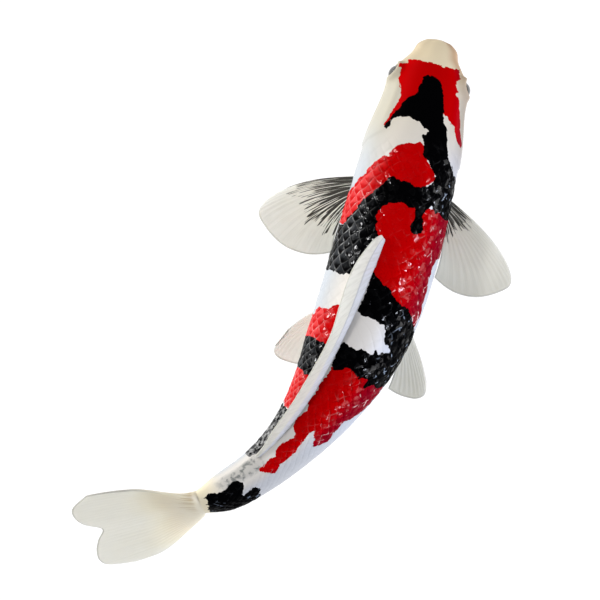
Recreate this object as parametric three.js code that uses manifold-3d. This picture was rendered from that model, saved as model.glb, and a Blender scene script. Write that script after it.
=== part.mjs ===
// A koi figurine, about 300 mm long as it lies, head along +Y and +Z up.
// A hollow moulded body in two glued shells carries soft vinyl fins on root tabs, set eyes, vinyl
// barbels and a felt pad. The origin is the middle of the pad's underside, on the table.
import * as THREE from 'three';
import { mergeVertices } from 'three/addons/utils/BufferGeometryUtils.js';
import Module from 'manifold-3d';

const wasm = await Module();
wasm.setup();

// Driving dimensions, in millimetres and degrees. A station is a distance from the nose along the spine,
// and a girth angle runs round a section from the ridge of the back (0) to the keel (180).
const BODY_LENGTH = 272;
const BODY_WIDTH = 52;
const BACK_HEIGHT = 31;
const BELLY_DEPTH = 30;
const SECTION_FULLNESS = 2.15;
const SHELL_WALL = 2;
const NOSE_WALL = 4;
const JOIN_GAP = 0.3;

// The spine is straight through the head, eases into a bend to the left, and runs straight again a little
// way into the tail fin.
const BEND_START = 80;
const BEND_EASE = 166;
const BEND_RADIUS = 111;
const BEND_INTO_TAIL = 10;
const NOSE_DROP = 5;
const HEAD_LENGTH = 66;
const ROLL_START = 40;
const TAIL_ROLL = 25.5;
const TAIL_TWIST = 14;
const RISE_START = 178;
const TAIL_RISE = 3;

// The felt pad and the flat that the belly is moulded with above it.
const PAD_STATION = 116;
const PAD_LENGTH = 56;
const PAD_WIDTH = 20;
const PAD_THICKNESS = 1;
const BELLY_FLAT = 3;

// The glued seam between the shells runs just under the widest line, where it is out of sight from above.
const SEAM_ANGLE = 98;
const SEAM_FOLLOW = 1.2;
const TONGUE_STATIONS = [56, 116, 176];
const TONGUE_LENGTH = 16;
const TONGUE_THICKNESS = 1.2;
const TONGUE_HEIGHT = 3;

// Fins: each blade thins from its root to its edge and has a tab that sits in a slot of the shell.
const FIN_ROOT_THICKNESS = 1.8;
const FIN_EDGE_THICKNESS = 0.8;
const TAB_DEPTH = 5;
const PECTORAL_STATION = 75.5;
const PECTORAL_ANGLE = 114;
const PECTORAL_ROOT = 11;
const PECTORAL_LENGTH = 52;
const PELVIC_STATION = 141.5;
const PELVIC_ANGLE = 130;
const PELVIC_ROOT = 10;
const PELVIC_LENGTH = 38.5;
const DORSAL_STATION = 105;
const DORSAL_BASE = 129;
const DORSAL_LENGTH = 21;
const DORSAL_LEAN = 38;
const DORSAL_GIRTH_AFT = -6;
const ANAL_FROM_TAIL = 74;
const ANAL_BASE = 18;
const ANAL_LENGTH = 15;
const TAIL_LENGTH = 62;
const TAIL_UPPER_SPREAD = 27;
const TAIL_LOWER_SPREAD = 32;
const TAIL_PLUG_DEPTH = 12;
const TAIL_STALK_SHARE = 0.4;

// Eyes: a printed disc under a clear dome, in a pocket backed by a boss.
const EYE_STATION = 22;
const EYE_ANGLE = 76;
const EYE_DIAMETER = 8.4;
const EYE_DISC_THICKNESS = 0.6;
const EYE_DOME_HEIGHT = 3.6;
const EYE_POCKET_DEPTH = 2.2;
const EYE_BOSS_RIM = 2;

// Barbels: one pair at the corners of the mouth and a shorter pair on the upper lip.
const BARBEL_ROOT_RADIUS = 0.9;
const BARBEL_TIP_RADIUS = 0.4;
const BARBEL_PEG_DEPTH = 3;
const CORNER_BARBEL_LENGTH = 13;
const CORNER_BARBEL_STATION = 9;
const CORNER_BARBEL_ANGLE = 132;
const LIP_BARBEL_LENGTH = 6;
const LIP_BARBEL_STATION = 5;
const LIP_BARBEL_ANGLE = 128;
const BARBEL_DROOP = 0.65;
const BARBEL_TRAIL = 0.7;

const SIDES = { left: -1, right: 1 };
const rad = THREE.MathUtils.degToRad;
const lerp = THREE.MathUtils.lerp;
const smoothstep = THREE.MathUtils.smoothstep;
const UP = new THREE.Vector3(0, 0, 1);

// Heights that follow from the sizes above. The belly shell hangs half a seam gap low.
const BELLY_FLOOR = PAD_THICKNESS + 1.5 * JOIN_GAP;
const AXIS_HEIGHT = BELLY_FLOOR + BELLY_DEPTH - BELLY_FLAT;

// Lines plan of the body: share of the length, then half-breadth, back and belly as shares of their
// greatest values.
const LINES = [
  [0, 0, 0, 0],
  [0.015, 0.36, 0.2, 0.19],
  [0.03, 0.43, 0.29, 0.27],
  [0.048, 0.55, 0.37, 0.35],
  [0.081, 0.72, 0.49, 0.47],
  [0.133, 0.83, 0.63, 0.6],
  [0.2, 0.94, 0.775, 0.75],
  [0.25, 0.95, 0.87, 0.85],
  [0.38, 1, 1, 0.98],
  [0.5, 0.99, 1, 1],
  [0.61, 0.885, 0.89, 0.87],
  [0.7, 0.7, 0.7, 0.68],
  [0.81, 0.49, 0.53, 0.52],
  [0.88, 0.415, 0.45, 0.43],
  [0.955, 0.35, 0.38, 0.37],
  [1, 0.19, 0.34, 0.33],
];

// How the rays fan: a paired fin's rear rays sweep most, and the tail opens slowest along its upper edge.
const REAR_RAY_SWEEP = 2.4;
const TAIL_LOWER_FAN = 0.5;
const TAIL_UPPER_FAN = 0.85;

// Fin edges: place across the rays, then ray length as a share of the fin's length.
const PECTORAL_EDGE = [[0, 0.81], [0.2, 0.94], [0.35, 1], [0.5, 0.97], [0.7, 0.88], [0.85, 0.75], [1, 0.57]];
const PELVIC_EDGE = [[0, 0.88], [0.25, 1], [0.5, 0.98], [0.75, 0.85], [1, 0.68]];
const TAIL_EDGE = [
  [0, 0.84], [0.125, 0.98], [0.25, 1], [0.375, 0.95], [0.5, 0.825], [0.625, 0.89], [0.75, 0.935], [0.875, 0.935],
  [0.945, 0.86], [1, 0.66],
];
// The fins on the middle line have the rake of each ray too, in degrees aft of upright.
const DORSAL_EDGE = [
  [0, 0.13, -26], [0.03, 0.47, 10], [0.06, 0.73, 22], [0.1, 0.88, 28], [0.18, 1, 44], [0.335, 0.73, 46],
  [0.59, 0.69, 48], [0.795, 0.56, 49], [0.92, 0.27, 50], [1, 0.13, 51],
];
const ANAL_EDGE = [[0, 0.8, 55], [0.3, 1, 58], [0.7, 0.8, 62], [1, 0.5, 65]];

// A smooth curve through a table's rows: x is in the first column, the value in the one asked for.
function through(rows, column, x) {
  let i = 0;
  while (i < rows.length - 2 && rows[i + 1][0] < x) i += 1;
  const slope = (a, b) => (rows[b][column] - rows[a][column]) / (rows[b][0] - rows[a][0]);
  const inSlope = slope(Math.max(0, i - 1), i + 1);
  const outSlope = slope(i, Math.min(rows.length - 1, i + 2));
  const span = rows[i + 1][0] - rows[i][0];
  const u = THREE.MathUtils.clamp((x - rows[i][0]) / span, 0, 1);
  const v = 1 - u;
  const ends = rows[i][column] * v * v * (1 + 2 * u) + rows[i + 1][column] * u * u * (3 - 2 * u);
  return ends + span * u * v * (inSlope * v - outSlope * u);
}

// Square-root stations make the nose come out round.
const ROUND_LINES = LINES.map(([share, ...sizes]) => [Math.sqrt(share), ...sizes]);

function heading(t) {
  const u = Math.max(0, Math.min(t, BODY_LENGTH + BEND_INTO_TAIL) - BEND_START);
  return u < BEND_EASE ? (u * u) / (2 * BEND_EASE * BEND_RADIUS) : (u - BEND_EASE / 2) / BEND_RADIUS;
}

function rollDegrees(t) {
  const bodyRoll = (TAIL_ROLL * Math.max(0, t - ROLL_START)) / (BODY_LENGTH - ROLL_START);
  return bodyRoll + TAIL_TWIST * smoothstep(t, BODY_LENGTH, BODY_LENGTH + TAIL_LENGTH / 2);
}

// A point of the spine, from the nose, before the part is placed over its pad.
function spineFromNose(t) {
  const point = new THREE.Vector3();
  const steps = Math.max(1, Math.ceil(t / 3));
  for (let i = 0; i < steps; i += 1) {
    const a = heading(((i + 0.5) * t) / steps);
    point.x -= (Math.sin(a) * t) / steps;
    point.y -= (Math.cos(a) * t) / steps;
  }
  const headDrop = NOSE_DROP * (1 - smoothstep(t, 0, HEAD_LENGTH));
  const tailRise = TAIL_RISE * smoothstep(t, RISE_START, BODY_LENGTH + TAIL_LENGTH);
  point.z = AXIS_HEIGHT - headDrop + tailRise;
  return point;
}

const PAD_CENTRE = spineFromNose(PAD_STATION).setZ(0);

// The spine point at a station with its axes: aft, level to the right, and the rolled right and ridge.
function frameAt(t) {
  const a = heading(t);
  const roll = rad(rollDegrees(t));
  const aft = new THREE.Vector3(-Math.sin(a), -Math.cos(a), 0);
  const level = new THREE.Vector3(Math.cos(a), -Math.sin(a), 0);
  const right = level.clone().multiplyScalar(Math.cos(roll)).addScaledVector(UP, Math.sin(roll));
  const ridge = UP.clone().multiplyScalar(Math.cos(roll)).addScaledVector(level, -Math.sin(roll));
  return { origin: spineFromNose(t).sub(PAD_CENTRE), aft, level, right, ridge };
}

// Half-breadth, back and belly of the section at a station, or of a surface at a depth under the skin.
function sectionAt(t, depth = 0) {
  const inside = smoothstep(t, NOSE_WALL, HEAD_LENGTH);
  const noseShift = (NOSE_WALL * (1 - inside) * depth) / SHELL_WALL;
  const x = Math.sqrt(THREE.MathUtils.clamp((t - noseShift) / BODY_LENGTH, 0, 1));
  const sizes = [BODY_WIDTH / 2, BACK_HEIGHT, BELLY_DEPTH];
  return sizes.map((size, i) => Math.max(0, size * through(ROUND_LINES, i + 1, x) - inside * depth));
}

// A point of the skin, or of the surface at a depth under it. Positive girth angles are on the right.
function skin(t, girth, depth = 0) {
  const { origin, right, ridge } = frameAt(t);
  const [half, back, belly] = sectionAt(t, depth);
  const rounded = (value) => Math.sign(value) * Math.abs(value) ** (2 / SECTION_FULLNESS);
  const s = rounded(Math.sin(girth));
  const c = rounded(Math.cos(girth));
  const point = origin.addScaledVector(right, half * s).addScaledVector(ridge, (c > 0 ? back : belly) * c);
  point.z = Math.max(point.z, BELLY_FLOOR + depth);
  return point;
}

function skinNormal(t, girth) {
  const along = skin(t + 0.5, girth).sub(skin(t - 0.5, girth));
  const round = skin(t, girth + 0.02).sub(skin(t, girth - 0.02));
  return along.cross(round).normalize();
}

// Makes a closed mesh of shared corners, without triangles that have shrunk to a line, facing out.
function closedSolid(positions, triangles) {
  const raw = new THREE.BufferGeometry();
  raw.setAttribute('position', new THREE.Float32BufferAttribute(positions, 3));
  raw.setIndex(triangles);
  const welded = mergeVertices(raw, 1e-4);
  const corner = welded.getAttribute('position');
  const at = (i) => new THREE.Vector3().fromBufferAttribute(corner, i);
  const index = [];
  let volume = 0;
  for (let i = 0; i < welded.index.count; i += 3) {
    const [a, b, c] = [0, 1, 2].map((step) => welded.index.getX(i + step));
    if (a === b || b === c || c === a) continue;
    index.push(a, b, c);
    volume += at(a).dot(at(b).cross(at(c)));
  }
  welded.setIndex(volume > 0 ? index : index.reverse());
  return welded;
}

// The solid between two matching grids of points, closed round its rim.
function slab(front, rear) {
  const rows = front.length;
  const columns = front[0].length;
  const positions = [...front.flat(), ...rear.flat()].flatMap((p) => p.toArray());
  const triangles = [];
  const quad = (a, b, c, d) => triangles.push(a, b, c, a, c, d);
  const id = (face, i, j) => (face * rows + i) * columns + j;
  for (let i = 0; i + 1 < rows; i += 1) {
    for (let j = 0; j + 1 < columns; j += 1) {
      quad(id(0, i, j), id(0, i + 1, j), id(0, i + 1, j + 1), id(0, i, j + 1));
      quad(id(1, i, j), id(1, i, j + 1), id(1, i + 1, j + 1), id(1, i + 1, j));
    }
    quad(id(0, i, 0), id(1, i, 0), id(1, i + 1, 0), id(0, i + 1, 0));
    quad(id(0, i, columns - 1), id(0, i + 1, columns - 1), id(1, i + 1, columns - 1), id(1, i, columns - 1));
  }
  for (let j = 0; j + 1 < columns; j += 1) {
    quad(id(0, 0, j), id(0, 0, j + 1), id(1, 0, j + 1), id(1, 0, j));
    quad(id(0, rows - 1, j), id(1, rows - 1, j), id(1, rows - 1, j + 1), id(0, rows - 1, j + 1));
  }
  return closedSolid(positions, triangles);
}

function solidOf(geometry) {
  const bare = geometry.clone();
  bare.deleteAttribute('normal');
  bare.deleteAttribute('uv');
  const shared = mergeVertices(bare, 1e-4);
  return new wasm.Manifold(
    new wasm.Mesh({
      numProp: 3,
      vertProperties: new Float32Array(shared.getAttribute('position').array),
      triVerts: new Uint32Array(shared.index.array),
    }),
  );
}

function geometryOf(solid) {
  const mesh = solid.getMesh();
  const geometry = new THREE.BufferGeometry();
  geometry.setAttribute('position', new THREE.BufferAttribute(new Float32Array(mesh.vertProperties), 3));
  geometry.setIndex(new THREE.BufferAttribute(new Uint32Array(mesh.triVerts), 1));
  return geometry;
}

// A base solid with more material joined on, and then with room cut in it.
function shaped(base, additions, cuts) {
  let solid = solidOf(base);
  for (const addition of additions) solid = solid.add(solidOf(addition));
  for (const cut of cuts) solid = solid.subtract(solidOf(cut));
  return geometryOf(solid);
}

const steps = (count) => Array.from({ length: count + 1 }, (_, i) => i / count);

// Body shells
const RING_SHARES = steps(42).map((u) => u ** 1.6);
const GIRTH_STEPS = steps(14);
const seamRight = (t) => rad(SEAM_ANGLE + SEAM_FOLLOW * rollDegrees(t));
const seamLeft = (t) => -rad(SEAM_ANGLE - SEAM_FOLLOW * rollDegrees(t));

function shell(fromSeam, toSeam, lift) {
  const face = (depth, noseWall) =>
    RING_SHARES.map((share) => {
      const t = noseWall + (BODY_LENGTH - noseWall) * share;
      return GIRTH_STEPS.map((u) => {
        const point = skin(t, lerp(fromSeam(t), toSeam(t), u), depth);
        return point.setZ(point.z + lift);
      });
    });
  return slab(face(0, 0), face(SHELL_WALL, NOSE_WALL));
}

// A tongue on the belly shell that stands up inside the back shell, and the thicker foot that carries it.
function tongue(station, seam, down) {
  const strip = (shallow, deep, low, high) => {
    const face = (depth) =>
      steps(4).map((u) => {
        const t = station + TONGUE_LENGTH * (u - 0.5);
        const perMillimetre = down / sectionAt(t)[0];
        return [low, (low + high) / 2, high].map((rise) => skin(t, seam(t) - rise * perMillimetre, depth));
      });
    return slab(face(shallow), face(deep));
  };
  const clear = SHELL_WALL + 2 * JOIN_GAP;
  return [
    strip(SHELL_WALL / 2, clear + TONGUE_THICKNESS, -TONGUE_HEIGHT - 2 * JOIN_GAP, -2 * JOIN_GAP),
    strip(clear, clear + TONGUE_THICKNESS, -TONGUE_HEIGHT, TONGUE_HEIGHT),
  ];
}

// Fins
// A fin is a surface point(k, m): k goes across the rays and m along them, with 0 at the skin and 1 at the
// edge, and the tab below 0. Grown by a clearance, the same solid cuts its own slot.
function finSolid(fin, grow = 0) {
  const ends = grow / fin.root;
  const across = steps(fin.columns).map((u) => lerp(-ends, 1 + ends, u));
  const along = [-1 - grow / TAB_DEPTH, 0, ...steps(fin.rows).slice(1)];
  const side = (sign) =>
    along.map((m) =>
      across.map((k) => {
        const point = fin.point(k, m);
        const onRay = m < 0 ? point.clone().sub(fin.point(k, m - 0.1)) : fin.point(k, m + 0.02).sub(fin.point(k, m));
        const onEdge = fin.point(k + 0.02, m).sub(fin.point(k - 0.02, m));
        const half = lerp(FIN_ROOT_THICKNESS, FIN_EDGE_THICKNESS, Math.max(0, m)) / 2 + grow;
        return point.addScaledVector(onRay.cross(onEdge).normalize(), sign * half);
      }),
    );
  return slab(side(1), side(-1));
}

// A paired fin stands out level from the flank and sweeps aft, its rear rays most.
function pairedFin(side, fin) {
  const { station, angle, root, length, edge, lead, trail, curl, drop } = fin;
  const { aft, level } = frameAt(station + root / 2);
  const out = level.multiplyScalar(side);
  const midSweep = rad(lead);
  const inward = out.clone().multiplyScalar(Math.cos(midSweep)).addScaledVector(aft, Math.sin(midSweep));
  const point = (k, m) => {
    const share = THREE.MathUtils.clamp(k, 0, 1);
    const foot = skin(station + root * k, side * rad(angle));
    if (m < 0) return foot.addScaledVector(inward, m * TAB_DEPTH);
    const sweep = rad(lead + (trail - lead) * share ** REAR_RAY_SWEEP - curl * (1 - m * m));
    const reach = length * through(edge, 1, share) * m;
    foot.addScaledVector(out, reach * Math.cos(sweep)).addScaledVector(aft, reach * Math.sin(sweep));
    return foot.addScaledVector(UP, -drop * m);
  };
  const relief = out.clone().multiplyScalar(-2 * JOIN_GAP);
  return { point, root, relief, columns: 12, rows: 7 };
}

// A fin of the back or keel stands on the middle line, leans over and rakes aft.
function middleFin({ station, base, length, edge, girth, girthAft, upright, columns }) {
  const point = (k, m) => {
    const share = THREE.MathUtils.clamp(k, 0, 1);
    const t = station + base * k;
    const { aft } = frameAt(t);
    const foot = skin(t, rad(lerp(girth, girthAft, share)));
    const stem = upright(t);
    if (m < 0) return foot.addScaledVector(stem, m * TAB_DEPTH);
    const angle = rad(through(edge, 2, share));
    const reach = length * through(edge, 1, share) * m;
    return foot.addScaledVector(stem, reach * Math.cos(angle)).addScaledVector(aft, reach * Math.sin(angle));
  };
  return { point, root: base, relief: new THREE.Vector3(), columns, rows: 5 };
}

const leaning = (t) => {
  const { level } = frameAt(t);
  const lean = rad(DORSAL_LEAN);
  return UP.clone().multiplyScalar(Math.cos(lean)).addScaledVector(level, -Math.sin(lean));
};

const pectoral = { angle: PECTORAL_ANGLE, station: PECTORAL_STATION, root: PECTORAL_ROOT, edge: PECTORAL_EDGE };
const pelvic = { angle: PELVIC_ANGLE, station: PELVIC_STATION, root: PELVIC_ROOT, edge: PELVIC_EDGE };
const pectoralPose = {
  left: { length: PECTORAL_LENGTH + 0.5, lead: 26, trail: 82.5, curl: 10.5, drop: 6 },
  right: { length: PECTORAL_LENGTH, lead: 33, trail: 84.5, curl: 7, drop: 6 },
};
const pelvicPose = {
  left: { length: PELVIC_LENGTH, lead: 55, trail: 84, curl: 12, drop: -2 },
  right: { length: PELVIC_LENGTH - 6, lead: 51.5, trail: 86, curl: 4, drop: 2 },
};

const FINS = {
  left_pectoral_fin: pairedFin(SIDES.left, { ...pectoral, ...pectoralPose.left }),
  right_pectoral_fin: pairedFin(SIDES.right, { ...pectoral, ...pectoralPose.right }),
  left_pelvic_fin: pairedFin(SIDES.left, { ...pelvic, ...pelvicPose.left }),
  right_pelvic_fin: pairedFin(SIDES.right, { ...pelvic, ...pelvicPose.right }),
  dorsal_fin: middleFin({
    station: DORSAL_STATION, base: DORSAL_BASE, length: DORSAL_LENGTH, edge: DORSAL_EDGE,
    girth: 0, girthAft: DORSAL_GIRTH_AFT, upright: leaning, columns: 33,
  }),
  anal_fin: middleFin({
    station: BODY_LENGTH - ANAL_FROM_TAIL, base: ANAL_BASE, length: ANAL_LENGTH, edge: ANAL_EDGE,
    girth: 180, girthAft: 180, upright: (t) => frameAt(t).ridge.negate(), columns: 8,
  }),
};

// The tail fin butts on the open end of the shells, as thick there as the body, with a plug inside them.
function tailFin() {
  const half = (t, depth, share) => {
    const [breadth] = sectionAt(t, depth);
    const rest = Math.max(0, 1 - Math.abs(share) ** SECTION_FULLNESS);
    return Math.max(FIN_EDGE_THICKNESS / 2, breadth * rest ** (1 / SECTION_FULLNESS));
  };
  const place = (t, height, thickness) => {
    const { origin, right, ridge } = frameAt(t);
    return [1, -1].map((sign) =>
      origin.clone().addScaledVector(ridge, height).addScaledVector(right, (sign * thickness) / 2),
    );
  };
  const across = steps(18);
  const rows = [];
  const plugDepth = SHELL_WALL + JOIN_GAP;
  for (const m of [1, 0.5, 0]) {
    const t = BODY_LENGTH - TAIL_PLUG_DEPTH * m;
    const [, back, belly] = sectionAt(t, plugDepth);
    rows.push(
      across.map((k) => {
        const share = 1 - 2 * k;
        return place(t, share * (share > 0 ? back : belly), 2 * half(t, plugDepth, share));
      }),
    );
  }
  const [, back, belly] = sectionAt(BODY_LENGTH);
  for (const m of steps(12)) {
    rows.push(
      across.map((k) => {
        const share = 1 - 2 * k;
        const t = BODY_LENGTH + JOIN_GAP + (TAIL_LENGTH - JOIN_GAP) * through(TAIL_EDGE, 1, k) * m;
        const root = share * (share > 0 ? back : belly);
        const spread = share > 0 ? TAIL_UPPER_SPREAD : TAIL_LOWER_SPREAD;
        const fan = Math.sin((Math.PI / 2) * m ** lerp(TAIL_LOWER_FAN, TAIL_UPPER_FAN, Math.max(0, share)));
        const thin = smoothstep(m, 0, TAIL_STALK_SHARE);
        const blade = lerp(FIN_ROOT_THICKNESS, FIN_EDGE_THICKNESS, m);
        const thickness = lerp(2 * half(BODY_LENGTH, 0, share), blade, thin);
        return place(t, lerp(root, share * spread, fan), thickness);
      }),
    );
  }
  return slab(rows.map((row) => row.map((pair) => pair[0])), rows.map((row) => row.map((pair) => pair[1])));
}

// Eyes: heights are along the eye's axis, from the skin.
const EYE_RADIUS = EYE_DIAMETER / 2;
const EYE_FLOOR = -EYE_POCKET_DEPTH;
const EYE_DOME_FLOOR = EYE_FLOOR + JOIN_GAP + EYE_DISC_THICKNESS + JOIN_GAP;

function onEyeAxis(geometry, side) {
  const girth = side * rad(EYE_ANGLE);
  const turn = new THREE.Quaternion().setFromUnitVectors(UP, skinNormal(EYE_STATION, girth));
  const foot = skin(EYE_STATION, girth);
  return geometry.applyQuaternion(turn).translate(foot.x, foot.y, foot.z);
}

function eyeRound(side, radius, low, high) {
  const round = new THREE.CylinderGeometry(radius, radius, high - low, 28).rotateX(Math.PI / 2);
  return onEyeAxis(round.translate(0, 0, (low + high) / 2), side);
}

function eyeDome(side) {
  const outline = steps(8).map((u) => {
    const a = (u * Math.PI) / 2;
    return new THREE.Vector2(EYE_RADIUS * Math.sin(a), EYE_DOME_HEIGHT * Math.cos(a));
  });
  outline[0].x = 0;
  outline[8].y = 0;
  const profile = [...outline.reverse(), new THREE.Vector2(0, 0)];
  profile.unshift(profile.pop());
  const dome = new THREE.LatheGeometry(profile, 28).rotateX(Math.PI / 2).translate(0, 0, EYE_DOME_FLOOR);
  return onEyeAxis(dome, side);
}

const eyeBoss = (side, grow = 0) =>
  eyeRound(side, EYE_RADIUS + JOIN_GAP + EYE_BOSS_RIM + grow, EYE_FLOOR - SHELL_WALL - grow, grow - SHELL_WALL / 2);
const eyePocket = (side) => eyeRound(side, EYE_RADIUS + JOIN_GAP, EYE_FLOOR, EYE_DIAMETER);

// Barbels: a tapering cord that droops aft, its root peg in a hole of the shell.
function barbel(side, { station, angle, length }, grow = 0) {
  const girth = side * rad(angle);
  const foot = skin(station, girth);
  const out = skinNormal(station, girth);
  const { aft } = frameAt(station);
  const drop = BARBEL_DROOP * length;
  const trail = BARBEL_TRAIL * length;
  const path = new THREE.CatmullRomCurve3([
    foot.clone().addScaledVector(out, -BARBEL_PEG_DEPTH - grow),
    foot,
    foot.clone().addScaledVector(UP, -0.6 * drop).addScaledVector(aft, 0.2 * trail),
    foot.clone().addScaledVector(UP, -drop).addScaledVector(aft, trail),
  ]);
  const count = 14;
  const sidesRound = 10;
  const frames = path.computeFrenetFrames(count, false);
  const positions = [];
  const triangles = [];
  for (let i = 0; i <= count; i += 1) {
    const centre = path.getPointAt(i / count);
    const radius = lerp(BARBEL_ROOT_RADIUS, BARBEL_TIP_RADIUS, i / count) + grow;
    for (let j = 0; j < sidesRound; j += 1) {
      const a = (2 * Math.PI * j) / sidesRound;
      const spoke = frames.normals[i].clone().multiplyScalar(Math.cos(a) * radius);
      spoke.addScaledVector(frames.binormals[i], Math.sin(a) * radius).add(centre);
      positions.push(...spoke.toArray());
      if (i === count) continue;
      const [a0, a1] = [i * sidesRound + j, i * sidesRound + ((j + 1) % sidesRound)];
      triangles.push(a0, a1, a1 + sidesRound, a0, a1 + sidesRound, a0 + sidesRound);
    }
  }
  for (const [ring, flip] of [[0, true], [count, false]]) {
    for (let j = 1; j + 1 < sidesRound; j += 1) {
      const [a, b, c] = [0, j, j + 1].map((step) => ring * sidesRound + step);
      triangles.push(...(flip ? [a, c, b] : [a, b, c]));
    }
  }
  return closedSolid(positions, triangles);
}

const cornerBarbel = { station: CORNER_BARBEL_STATION, angle: CORNER_BARBEL_ANGLE, length: CORNER_BARBEL_LENGTH };
const lipBarbel = { station: LIP_BARBEL_STATION, angle: LIP_BARBEL_ANGLE, length: LIP_BARBEL_LENGTH };

// The felt pad under the belly flat
function bellyPad() {
  const oval = new THREE.Shape().absellipse(0, 0, PAD_WIDTH / 2, PAD_LENGTH / 2, 0, 2 * Math.PI);
  return new THREE.ExtrudeGeometry(oval, { depth: PAD_THICKNESS, bevelEnabled: false, curveSegments: 24 });
}

// Materials
const finish = (color, roughness, metalness = 0) =>
  new THREE.MeshStandardMaterial({ color, roughness, metalness });
const redEnamel = finish('#b01712', 0.2);
const whiteEnamel = finish('#ece6da', 0.25);
const milkyVinyl = finish('#e4e0d5', 0.4);
const goldFoil = finish('#8c6a2a', 0.35, 0.6);
const clearPlastic = finish('#2a241e', 0.05);
const darkFelt = finish('#37332f', 0.95);

// Assembly
const figurine = new THREE.Group();
figurine.name = 'koi_figurine';

function addNode(name, geometry, material) {
  const mesh = new THREE.Mesh(geometry, material);
  mesh.name = name;
  figurine.add(mesh);
}

const sides = Object.values(SIDES);
// A fin's room in the shell, also moved inward where a rear ray runs close along the flank.
const slotOf = (name) => {
  const { relief } = FINS[name];
  const room = finSolid(FINS[name], JOIN_GAP);
  return [room, room.clone().translate(relief.x, relief.y, relief.z)];
};
const bellyFins = ['left_pectoral_fin', 'right_pectoral_fin', 'left_pelvic_fin', 'right_pelvic_fin', 'anal_fin'];
const tongues = TONGUE_STATIONS.flatMap((station) => [
  ...tongue(station, seamRight, 1),
  ...tongue(station, seamLeft, -1),
]);

addNode(
  'back_shell',
  shaped(
    shell(seamLeft, seamRight, JOIN_GAP / 2),
    sides.map((side) => eyeBoss(side)),
    [...sides.map(eyePocket), ...slotOf('dorsal_fin')],
  ),
  redEnamel,
);
addNode(
  'belly_shell',
  shaped(shell(seamRight, (t) => seamLeft(t) + 2 * Math.PI, -JOIN_GAP / 2), tongues, [
    ...bellyFins.flatMap(slotOf),
    ...sides.map((side) => eyeBoss(side, JOIN_GAP)),
    ...sides.flatMap((side) => [barbel(side, cornerBarbel, JOIN_GAP), barbel(side, lipBarbel, JOIN_GAP)]),
  ]),
  whiteEnamel,
);
for (const name of Object.keys(FINS)) addNode(name, finSolid(FINS[name]), milkyVinyl);
addNode('tail_fin', tailFin(), milkyVinyl);
for (const [name, side] of Object.entries(SIDES)) {
  const discFloor = EYE_FLOOR + JOIN_GAP;
  addNode(`${name}_eye_disc`, eyeRound(side, EYE_RADIUS, discFloor, discFloor + EYE_DISC_THICKNESS), goldFoil);
  addNode(`${name}_eye_dome`, eyeDome(side), clearPlastic);
  addNode(`${name}_barbel`, barbel(side, cornerBarbel), milkyVinyl);
  addNode(`${name}_lip_barbel`, barbel(side, lipBarbel), milkyVinyl);
}
addNode('belly_pad', bellyPad(), darkFelt);

export default figurine;
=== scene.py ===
# A koi figurine, dressed over its solids: a painted two-part body, glued-on vinyl fins, eyes and barbels.

import math
from types import SimpleNamespace

import bmesh
import bpy
import numpy as np
from mathutils import Matrix, Vector


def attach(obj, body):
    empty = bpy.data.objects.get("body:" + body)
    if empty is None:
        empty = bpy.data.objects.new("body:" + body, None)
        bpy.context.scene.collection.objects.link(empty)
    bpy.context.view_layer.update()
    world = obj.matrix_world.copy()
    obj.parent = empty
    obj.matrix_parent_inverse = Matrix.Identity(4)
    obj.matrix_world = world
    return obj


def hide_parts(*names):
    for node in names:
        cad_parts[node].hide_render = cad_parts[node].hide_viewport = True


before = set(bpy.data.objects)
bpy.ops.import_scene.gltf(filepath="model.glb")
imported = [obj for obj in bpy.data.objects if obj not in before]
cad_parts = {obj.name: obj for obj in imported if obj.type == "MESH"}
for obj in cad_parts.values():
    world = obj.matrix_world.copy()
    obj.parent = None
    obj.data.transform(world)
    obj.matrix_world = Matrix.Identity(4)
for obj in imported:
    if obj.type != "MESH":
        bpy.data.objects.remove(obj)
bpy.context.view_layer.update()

# Back half of the body.
# A moulded shell, from the seam below one flank over the back to the other, with the scales cast in.
# It is sprayed white, then hand-painted with glossy red and black enamel and varnished.
BODY_LENGTH = 272.0
BODY_WIDTH = 52.0
BACK_HEIGHT = 31.0
BELLY_DEPTH = 30.0
SECTION_FULLNESS = 2.15
SHELL_WALL = 2.0
JOIN_GAP = 0.3
BEND_START = 80.0
BEND_EASE = 166.0
BEND_RADIUS = 111.0
BEND_INTO_TAIL = 10.0
NOSE_DROP = 5.0
HEAD_LENGTH = 66.0
ROLL_START = 40.0
TAIL_ROLL = 25.5
TAIL_TWIST = 14.0
TAIL_LENGTH = 62.0
RISE_START = 178.0
TAIL_RISE = 3.0
PAD_STATION = 116.0
PAD_THICKNESS = 1.0
BELLY_FLAT = 3.0
BELLY_FLOOR = PAD_THICKNESS + 1.5 * JOIN_GAP
AXIS_HEIGHT = BELLY_FLOOR + BELLY_DEPTH - BELLY_FLAT
SEAM_ANGLE = 98.0
SEAM_FOLLOW = 1.2
SEAM_OPENING = 0.08

# Share of the length, then the half breadth, the back and the belly as shares of their greatest.
BODY_LINES = np.array([
    (0, 0, 0, 0), (0.015, 0.36, 0.2, 0.19), (0.03, 0.43, 0.29, 0.27), (0.048, 0.55, 0.37, 0.35),
    (0.081, 0.72, 0.49, 0.47), (0.133, 0.83, 0.63, 0.6), (0.2, 0.94, 0.775, 0.75), (0.25, 0.95, 0.87, 0.85),
    (0.38, 1, 1, 0.98), (0.5, 0.99, 1, 1), (0.61, 0.885, 0.89, 0.87), (0.7, 0.7, 0.7, 0.68),
    (0.81, 0.49, 0.53, 0.52), (0.88, 0.415, 0.45, 0.43), (0.955, 0.35, 0.38, 0.37), (1, 0.19, 0.34, 0.33),
])
UP = np.array([0.0, 0.0, 1.0])


def ease(x, start, end):
    """A smooth rise from nought to one."""
    share = np.clip((x - start) / (end - start), 0, 1)
    return share * share * (3 - 2 * share)


def fade(x, start, end):
    """What ease leaves of one."""
    return 1 - ease(x, start, end)


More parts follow.
